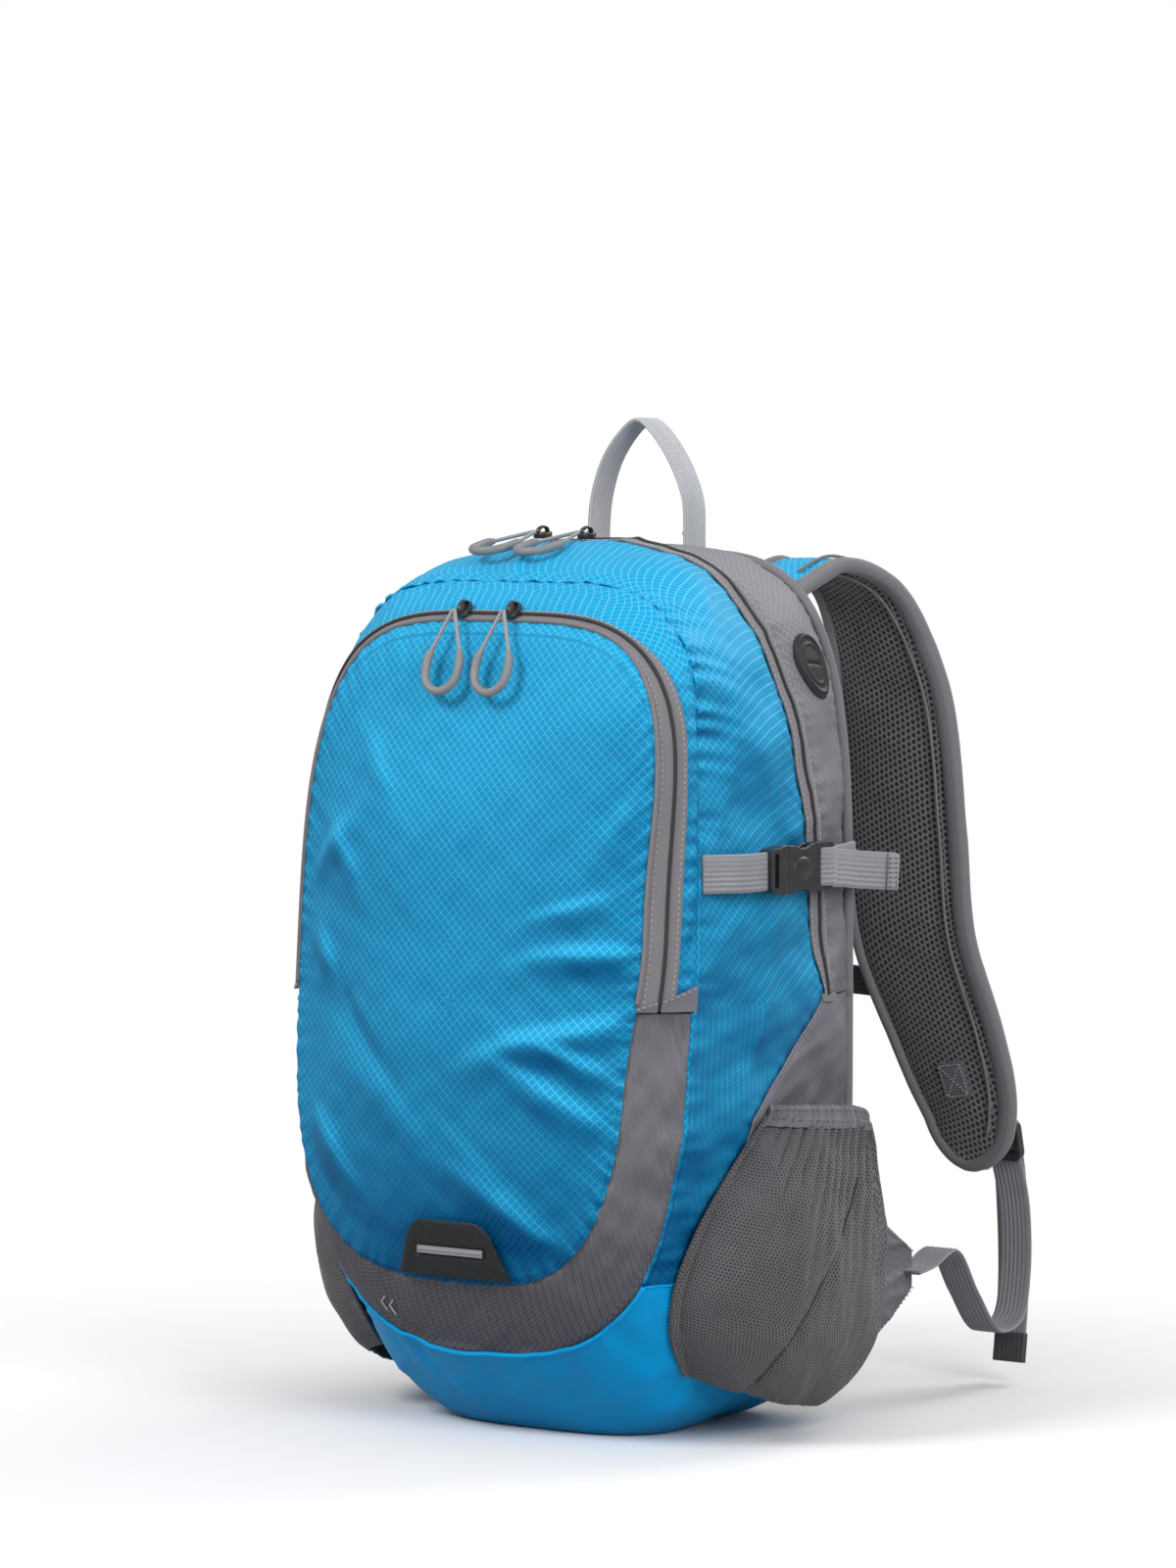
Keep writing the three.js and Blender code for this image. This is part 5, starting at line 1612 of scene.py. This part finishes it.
def make_pad(name, side, padding):
    """Padded strap: spacer mesh towards the back panel, ripstop away from it, and bound edges."""
    path = pad_path(1.0)
    width, run = pad_widths(path)
    faces = pad_faces(path, width, PAD_COLUMNS)
    _, across, normal = pad_frames(path)
    columns = np.linspace(-1, 1, PAD_COLUMNS)
    uv = np.stack(np.broadcast_arrays(run[:, None], width[:, None] / 2 * columns[None]), -1)
    hold = 1 - np.abs(columns) ** 6
    for i, (label, material, slot) in enumerate((("mesh", SPACER, "spacer_mesh"), ("outer", BLUE, "blue_ripstop"))):
        sign = 2 * i - 1
        grid = faces[i] + resized(padding[i], len(path), PAD_COLUMNS)
        uneven = (0.35 * waves(grid, 30, 121) + 0.7 * creases(grid, 34, 122, stretch=((1.0, 0, 0), 2.0))) * hold
        grid = grid + normal[:, None] * (sign * uneven)[..., None]
        obj = sheet(f"shoulder_pad_{label}_{name}", sided(grid, side), material, 0.8, uv)
        turn_out(obj, sign * normal[len(path) // 2] * (side, 1, 1))
        pad_blend(obj, name, slot, *((f"shoulder_pad_{name}",) if label == "mesh" else ()))
    binding(name, side, path, across, normal, width)


def turn_out(obj, direction):
    """Makes a sheet's faces look along a direction."""
    middle = obj.data.polygons[len(obj.data.polygons) // 2]
    if middle.normal.dot(Vector(direction)) < 0:
        obj.data.flip_normals()
    return obj


def pad_blend(obj, name, slot, *nodes):
    """Cloth of a shoulder strap: its transform is baked into its mesh, and the CAD nodes it stands for are hidden."""
    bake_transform(obj)
    return takes_place(obj, nodes)


def binding(name, side, path, across, normal, width):
    """The bound edge: down the strap's inner side, round its tip and up its outer side, where it is wider."""
    half = width[:, None] / 2
    loop = np.concatenate([path - across * half, (path + across * (half - 1.5))[::-1]])
    loop = resample(loop, 2.0, smooth=False)
    at = np.linspace(0, 1, len(loop))
    flat = spread_over(len(loop), np.concatenate([normal, normal[::-1]]))
    turn = np.arange(16) * 2 * PI / 16
    section = np.stack([np.sin(turn) * 4.3, np.sign(np.cos(turn)) * np.abs(np.cos(turn)) ** 0.7 * 3.2], -1)
    wide = 1 + 0.75 * smooth_step((at - 0.44) / 0.12)
    scale = np.stack([1 + 0.03 * waves(loop, 14, 123), wide], -1)
    obj = swept(f"shoulder_binding_{name}", sided(loop, side), section, BINDING, sided(flat, side), scale)
    pad_blend(obj, name, "grey_ripstop")
    for label, sign in (("mesh", -1), ("outer", 1)):
        line = path + across * (half - 10.0) + normal * sign * (PAD_START + 1.6)
        ridge = tube(f"shoulder_ridge_{label}_{name}", sided(line[8:-9], side), 0.9, BINDING, count=8)
        pad_blend(ridge, name, "grey_ripstop")


BOX_STITCH = ((-1, -1), (-1, 1), (1, 1), (1, -1), (-1, -1), (1, 1), (1, -1), (-1, 1))       # a box and its cross


def make_pad_details(name, side):
    """The stitched patch near the strap's lower end and the tab that holds the ladder lock."""
    path = pad_path(side)
    tangent, across, normal = pad_frames(path)
    k = int(len(path) * 0.87)
    offset = np.linspace(-8, 8, 12)
    patch = path[k] + tangent[k] * offset[:, None, None] * 1.3 + across[k] * offset[None, :, None] * 1.05
    rim = 1 - np.maximum(np.abs(offset[:, None]), np.abs(offset[None, :])) / 8
    for label, sign in (("mesh", -1), ("outer", 1)):
        lift = PAD_THICK / 2 + 1.3 + 0.8 * np.sqrt(np.clip(rim, 0, 1))
        grid = patch + normal[k] * sign * lift[..., None]
        obj = sheet(f"shoulder_patch_{label}_{name}", grid, ELASTIC, 1.4)
        turn_out(obj, sign * normal[k])
        hand_over(obj, f"strap_{name}", "grey_webbing")
        corners = [path[k] + tangent[k] * a * 9 + across[k] * b * 7 + normal[k] * sign * (PAD_THICK / 2 + 2.3)
                   for a, b in BOX_STITCH]
        row = stitches(f"shoulder_patch_stitches_{label}_{name}", np.array(corners), sign * normal[k],
                       THREAD_GREY, 2.2, 1.5)
        hand_over(row, f"strap_{name}", "grey_webbing")
    tab = np.array([path[-6], path[-2] + (0, 2, -3), LOCK * (side, 1, 1) + (0, 1, 6)])
    tab = webbing(f"ladder_tab_{name}", tab, RIGHTWARD, WEB, thick=2.4, step=1.5)
    hand_over(tab, f"strap_{name}", "grey_webbing")


def make_ladder_lock(name, side):
    x, y, z = LOCK * (side, 1, 1)
    place = Matrix.Translation((x, y, z)) @ Matrix.Rotation(PI / 2 + 0.25, 4, "X")
    outline = rounded_rectangle(28, 24, 5)
    slots = [rounded_rectangle(21.5, 3.6, 1.4, (0, b)) for b in (-5.2, 4.4)]
    obj = rounded_solid(f"ladder_lock_body_{name}", outline, 5.4, PLASTIC, 1.3, place, slots)
    hand_over(obj, f"strap_{name}", "black_plastic", f"ladder_lock_{name}")


LOWER_STRAP = [(122, 230, 131), (123, 232, 124), (125, 237, 100), (125, 238, 60), (125, 230, 37),
               (123, 212, 33), (121, 192, 56), (123, 168, 82), (127, 139, 77), (127, 124, 75)]
LOWER_TAIL = [(121, 231, 140), (121, 237, 126), (121, 241, 100), (121, 243, 60), (121, 240, 26), (121, 238, 12)]
LOWER_STEP = 2.0


def make_lower_webbing(name, side):
    """The webbing from the wing to the ladder lock, and its tail with a thick hem, drawn in dark webbing as painted
    shadow where the tail's end hangs.
    """
    obj = strap(f"lower_strap_{name}", LOWER_STRAP, side, 1.9, LOWER_STEP, RIGHTWARD)
    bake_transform(obj)
    takes_place(obj, (f"lower_webbing_{name}",))
    obj = strap(f"lower_tail_{name}", LOWER_TAIL, side, 1.9, LOWER_STEP, RIGHTWARD)
    hand_over(obj, f"strap_{name}", "grey_webbing")
    end = resample(sided(np.array(LOWER_TAIL, float), side), LOWER_STEP)
    # painted shadow: the hem is drawn in dark webbing because the tail's end hangs in shade
    hem = webbing(f"lower_tail_hem_{name}", end[-9:] + (0, 0.4, 0), RIGHTWARD, WEB_DARK, thick=4.0,
                  step=LOWER_STEP, width=WEBBING + 0.8)
    hand_over(hem, f"strap_{name}", "grey_webbing")


def make_wing(name, side):
    """Triangular fabric wing that carries the lower webbing."""
    rows = np.linspace(0, 1, 34)[:, None]
    columns = np.linspace(-1, 1, 26)[None, :]
    y = 80 + 52 * rows + 0 * columns
    middle = 74 + 2 * rows
    half = 44 - 34 * rows ** 1.15
    z = middle + half * columns
    x = 118.5 + 7.5 * rows + 1.6 * np.sin(PI * rows) + 0 * columns
    grid = np.stack([x, y, z], -1)
    pull = 0.9 * creases(grid, 22, 131, stretch=((0, 1.0, 0.1), 3.0)) + 0.6 * waves(grid, 30, 132)
    grid[..., 0] += pull * np.sin(PI * np.clip(rows, 0.02, 1) * 0.9)
    obj = sheet(f"strap_wing_cloth_{name}", sided(grid, side), GREY, 2.4)
    hand_over(obj, "root", "grey_ripstop", f"strap_wing_{name}")
    for label, row in (("upper", -2), ("lower", 1)):
        line = sided(grid[2:, row] + (1.4, 0, 0), side)
        row = stitches(f"strap_wing_stitches_{label}_{name}", line, RIGHTWARD * side, THREAD_GREY, 3.0, 2.0)
        hand_over(row, "root", "grey_ripstop")


def make_sternum(name, side):
    end = 16.4 if name == "right" else 22.4
    path = [(90, 190.5, 222), (66, 191.5, 223), (44, 190.5, STERNUM_Z), (end, STERNUM_Y, STERNUM_Z)]
    obj = webbing(f"sternum_strap_{name}", sided(np.array(path, float), side), UPWARD, WEB_DARK, width=16,
                  thick=1.8, step=1.8, ribs=5)
    if name == "left":
        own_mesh(obj)
    hand_over(obj, f"strap_{name}", "grey_webbing", f"sternum_webbing_{name}")


def make_sternum_buckle():
    """The socket, of two thin walls and a bar, on the right strap, and the plug with its two prongs."""
    place = Matrix.Translation((0, STERNUM_Y, STERNUM_Z)) @ Matrix.Rotation(PI / 2, 4, "X")

    def block(name, outline, depth, bevel, offset=0, holes=()):
        shift = Matrix.Translation((0, offset, 0))
        return rounded_solid(name, outline, depth, PLASTIC, bevel, shift @ place, holes)

    front = block("sternum_socket_front", rounded_rectangle(17.4, 17.6, 3, (7.1, 0)), 1.5, 0.6, -2.2)
    hand_over(front, "strap_right", "black_plastic", "sternum_socket")
    rear = block("sternum_socket_rear", rounded_rectangle(17.4, 17.6, 3, (7.1, 0)), 1.5, 0.6, 2.2)
    hand_over(rear, "strap_right", "black_plastic")
    bar = block("sternum_socket_bar", rounded_rectangle(5.2, 17.2, 2, (13.2, 0)), 5.6, 0.9)
    hand_over(bar, "strap_right", "black_plastic")
    plug = block("sternum_plug_body", rounded_rectangle(19.2, 17.6, 4, (-12.2, 0)), 5.8, 1.0,
                 holes=[rounded_rectangle(3.2, 12, 1.2, (-17.4, 0))])
    hand_over(plug, "sternum_plug", "black_plastic", "sternum_plug")
    for k, height in enumerate((-4.5, 4.5)):
        prong = block(f"sternum_prong_{k}", rounded_rectangle(11.5, 3.2, 1, (1.9, height)), 1.8, 0.4)
        hand_over(prong, "sternum_plug", "black_plastic")


def back_faces(rows, columns):
    """The back panel's outer and inner faces, flat, as rows from its foot to its top."""
    turn = np.linspace(-PI / 2 + 0.02, PI / 2 - 0.02, rows)
    rim = shell(turn, np.zeros_like(turn))
    x = rim[:, :1] * np.linspace(-1, 1, columns)[None, :]
    z = np.broadcast_to(rim[:, 2:], x.shape)
    edge = (1 - np.abs(np.linspace(-1, 1, columns)) ** 8)[None, :]
    outer = np.stack([x, 80.5 + 2.5 * edge + 0 * x, z], -1)
    inner = np.stack([x, 80.5 - 1.0 * edge + 0 * x, z], -1)
    return outer, inner


def back_channels(points):
    """0 in the sewn channels between the back panel's pads, 1 on the pads."""
    x, z = points[..., 0], points[..., 2]
    centre = smooth_step((np.abs(x) - 8) / 7)
    centre = np.where(z > 118, centre, 1.0)
    level = [smooth_step((np.abs(z - height) - 4) / 6) for height in (118.0, 262.0, 396.0)]
    return centre * level[0] * level[1] * level[2]


def back_padding():
    """The swelling of the back panel's outer face between its sewn channels."""
    outer, inner = back_faces(BACK_ROWS, BACK_COLUMNS)
    return inflated(outer, inner, with_edges(back_channels(outer) < 0.3), 4.0, 7.0)[0]


def make_back_panel(padding):
    """Padded back panel: long pads and a lumbar pad with sewn channels between them, bound round its edge."""
    outer, _ = back_faces(PANEL_ROWS, PANEL_COLUMNS)
    channel = back_channels(outer)
    grid = outer + resized(padding, PANEL_ROWS, PANEL_COLUMNS)
    grid[..., 1] += 4.6 * channel - 1.2 + 0.5 * waves(grid, 45, 141) * channel
    obj = sheet("back_panel_padding", grid, SPACER, 3.0, grid[..., [0, 2]])
    turn_out(obj, (0, 1, 0))
    hand_over(obj, "root", "spacer_mesh", "back_panel", "back_foam")
    loop = shell(np.linspace(0, 2 * PI, 400, endpoint=False), np.zeros(400)) + np.array([0, 1.5, 0])
    edge_tube = tube("back_panel_binding", loop, 3.0, BINDING, closed=True, count=10)
    hand_over(edge_tube, "root", "grey_ripstop")


def make_sleeve():
    """The padded sleeve inside, in front of the back panel."""
    x, z = np.meshgrid(np.linspace(-96, 96, 60), np.linspace(30, 330, 90), indexing="ij")
    grid = np.stack([x, 62 + 0 * x, z], -1)
    grid[..., 1] += 1.4 * waves(grid, 60, 151)
    hand_over(sheet("inner_sleeve_cloth", grid, LINING, 1.3), "root", "lining", "inner_sleeve")
    hem = np.stack([np.linspace(-96, 96, 90), np.full(90, 61.0), np.full(90, 330.0)], -1)
    obj = webbing("inner_sleeve_hem", hem, UPWARD, ELASTIC, width=14, thick=2.0, step=2.0, ribs=3)
    hand_over(obj, "root", "elastic")


# ------------------------------------------------------------------ zip sliders and pulls
SLIDERS = {
    "pocket": {"x": {"right": 10.0, "left": -22.0}, "y": -71.0, "z": 433.0, "tilt": 0.78, "pull_tilt": 1.25,
               "pull": (-9.5, -1.0), "pull_turn": 0.0},
    "main": {"x": {"right": -6.0, "left": -35.0}, "y": 16.0, "z": 470.6, "tilt": 0.1, "pull_tilt": 0.22,
             "pull": (-9.5, 1.6), "pull_turn": -0.10},
}
PULL_LENGTH = 43.0
GRIP_START = -20            # how far down the pull its grip begins


def placed(place, points):
    return np.array([list(place @ Vector(p)) for p in points])


def make_slider(zip_name, name):
    """A slider's body with the bridge that holds its pull."""
    spec = SLIDERS[zip_name]
    place = Matrix.Translation((spec["x"][name], spec["y"], spec["z"])) @ Matrix.Rotation(spec["tilt"], 4, "X")
    half = [(0, -5.6), (3.0, -4.8), (4.2, -1.0), (3.4, 3.0), (2.4, 5.4)]
    outline = half + [(-x, y) for x, y in reversed(half[1:])]
    body = rounded_solid(f"{zip_name}_slider_body_{name}", outline, 2.9, METAL, 0.6, place)
    hand_over(body, f"{zip_name}_slider_{name}", "slider_metal", f"{zip_name}_slider_{name}")
    arc = np.linspace(0, PI, 16)
    local = np.stack([0 * arc, -4.2 * np.cos(arc), 1.2 + 3.2 * np.sin(arc) ** 0.7], -1)
    section = circle(1.0, 10) * (1.5, 0.8)
    bridge = swept(f"{zip_name}_slider_bridge_{name}", placed(place, local), section, METAL, RIGHTWARD)
    hand_over(bridge, f"{zip_name}_slider_{name}", "slider_metal")


def make_pull(zip_name, name):
    """A cord loop from the slider's bridge, with a moulded U-shaped grip round its lower half."""
    spec = SLIDERS[zip_name]
    dy, dz = spec["pull"]
    origin = (spec["x"][name], spec["y"] + dy, spec["z"] + dz)
    place = (Matrix.Translation(origin) @ Matrix.Rotation(spec["pull_turn"], 4, "Z")
             @ Matrix.Rotation(spec["pull_tilt"], 4, "X"))
    low = -PULL_LENGTH
    half = [(-0.5, 1.5, 0), (-1.8, -2, 0), (-6, -13, 0), (-10.5, -27, 0), (-8.4, low + 4.5, 0)]
    loop = half + [(0, low, 0)] + [(-x, y, z) for x, y, z in reversed(half)]
    path = resample(loop, 0.9)
    world = placed(place, path)
    cord = tube(f"{zip_name}_pull_cord_{name}", world, 1.05, CORD, count=9)
    hand_over(cord, f"{zip_name}_pull_{name}", "pull_cord", f"{zip_name}_pull_{name}")
    grip_path = world[path[:, 1] < GRIP_START]
    ends = np.minimum(np.arange(len(grip_path)), np.arange(len(grip_path))[::-1])
    scale = np.clip(0.62 + 0.10 * ends, 0.62, 1)
    grip = tube(f"{zip_name}_pull_grip_{name}", grip_path, 2.35, GRIP, scale=scale, count=12)
    hand_over(grip, f"{zip_name}_pull_{name}", "pull_cord")


# ------------------------------------------------------------------ stage
AMBIENT_LOW, AMBIENT_HIGH = 0.22, 0.60      # light from the level of the floor and from overhead
FLOOR_BOUNCE = (176, 176, 178)
FADE_START, FADE_END = 260.0, 620.0         # where the floor fades into the backdrop
AZIMUTH, ELEVATION, DISTANCE = math.radians(36), math.radians(3.4), 3.3
SENSOR_HEIGHT, LENS = 36, 142.56
AIM_Z, SHIFT_UP, SHIFT_RIGHT = 0.240, 0.099, 0.0052


def make_stage():
    """A pale floor that takes the contact shadow and fades into the white backdrop a short way off."""
    r = Recipe("floor", roughness=0.9, specular=0.1)
    r.finish(r.colour(tone(246, 246, 247), 0.01, 700.0))
    away = r.node("ShaderNodeVectorMath", {0: r.place}, operation="LENGTH").outputs["Value"]
    values = {"Value": away, "From Min": FADE_START, "From Max": FADE_END}
    fade = r.node("ShaderNodeMapRange", values, interpolation_type="SMOOTHSTEP").outputs[0]
    seen = r.node("ShaderNodeLightPath").outputs["Is Camera Ray"]
    glow = r.node("ShaderNodeEmission", {"Strength": 1.0}).outputs[0]
    dim = r.node("ShaderNodeBsdfDiffuse", {"Color": tone(*FLOOR_BOUNCE)}).outputs[0]
    near = r.node("ShaderNodeMixShader", {0: fade, 1: r.shader.outputs[0], 2: glow}).outputs[0]
    surface = r.node("ShaderNodeMixShader", {0: seen, 1: dim, 2: near}).outputs[0]
    r.plug(r.tree.nodes["Material Output"].inputs["Surface"], surface)
    turn = np.linspace(0, 2 * PI, 96, endpoint=False)
    reach = np.array([1.0, 500.0, 3000.0, 40000.0])
    verts = np.stack([np.outer(reach, np.cos(turn)), np.outer(reach, np.sin(turn)), np.zeros((4, 96))], -1)
    index = np.arange(4 * 96).reshape(4, 96)
    beside = np.roll(index, -1, 1)
    quads = np.stack([index[:-1], index[1:], beside[1:], beside[:-1]], -1).reshape(-1, 4).tolist()
    floor = link_mesh("floor", verts.reshape(-1, 3), quads + [index[0].tolist()], None, r.material)
    turn_out(floor, (0, 0, 1))


def make_world():
    """Soft light from all round, in front of a plain white backdrop."""
    world = bpy.data.worlds.new("studio")
    world.use_nodes = True
    tree = world.node_tree
    seen = tree.nodes.new("ShaderNodeLightPath").outputs["Is Camera Ray"]
    way = tree.nodes.new("ShaderNodeSeparateXYZ")
    tree.links.new(tree.nodes.new("ShaderNodeTexCoord").outputs["Generated"], way.inputs[0])
    sky = tree.nodes.new("ShaderNodeMapRange")
    reach = {"From Min": -0.3, "From Max": 0.9, "To Min": AMBIENT_LOW, "To Max": AMBIENT_HIGH}
    for key, value in reach.items():
        sky.inputs[key].default_value = value
    tree.links.new(way.outputs[2], sky.inputs["Value"])
    strength = tree.nodes.new("ShaderNodeMapRange")
    tree.links.new(sky.outputs["Result"], strength.inputs["To Min"])
    strength.inputs["To Max"].default_value = 1.0
    background = tree.nodes["Background"]
    background.inputs["Color"].default_value = (1, 1, 1, 1)
    tree.links.new(seen, strength.inputs["Value"])
    tree.links.new(strength.outputs["Result"], background.inputs["Strength"])
    bpy.context.scene.world = world
    bpy.context.scene.view_settings.view_transform = "Standard"


def add_light(name, place, aim, size, power):
    light = bpy.data.lights.new(name, "AREA")
    light.size = size
    light.energy = power
    obj = link_object(name, light)
    obj.location = place
    obj.rotation_euler = (Vector(aim) - Vector(place)).to_track_quat("-Z", "Y").to_euler()


def make_camera():
    camera = bpy.data.cameras.new("camera")
    camera.sensor_fit = "VERTICAL"
    camera.sensor_height = SENSOR_HEIGHT
    camera.lens = LENS
    obj = link_object("camera", camera)
    level = math.cos(ELEVATION)
    back = Vector((math.sin(AZIMUTH) * level, -math.cos(AZIMUTH) * level, math.sin(ELEVATION)))
    right = Vector((math.cos(AZIMUTH), math.sin(AZIMUTH), 0))
    aim = Vector((0, 0, AIM_Z)) + back.cross(right) * SHIFT_UP + right * SHIFT_RIGHT
    obj.location = aim + back * DISTANCE
    obj.rotation_euler = back.to_track_quat("Z", "Y").to_euler()
    bpy.context.scene.camera = obj


# ------------------------------------------------------------------ the daypack
def make_daypack():
    shoulder, back = shoulder_padding(), back_padding()
    make_rear_gusset()
    make_main_zip()
    make_blue_wall()
    make_grey_sides()
    make_base()
    make_face()
    make_pocket_wall()
    make_pocket_zip()
    make_pocket_piping()
    make_band_cuffs()
    make_divider()
    make_light_tab()
    make_band_mark()
    make_side_pockets()
    make_cable_port()
    make_haul_loop()
    for name, side in SIDES:
        make_buckle(name, side)
        make_compression_stub(name, side)
        make_compression_strap(name, side)
        make_compression_tail(name, side)
        make_pad(name, side, shoulder)
        make_pad_details(name, side)
        make_ladder_lock(name, side)
        make_lower_webbing(name, side)
        make_wing(name, side)
        make_sternum(name, side)
        for zip_name in SLIDERS:
            make_slider(zip_name, name)
            make_pull(zip_name, name)
    make_sternum_buckle()
    make_back_panel(back)
    make_sleeve()


make_daypack()
make_stage()
make_world()
add_light("key", (-0.75, -1.9, 2.1), (0, 0, 0.38), 0.9, 37)
add_light("side", (2.2, -0.9, 1.3), (0, 0, 0.22), 1.3, 34)
add_light("back", (0.6, 2.3, 2.1), (0, 0, 0.3), 1.4, 30)
make_camera()
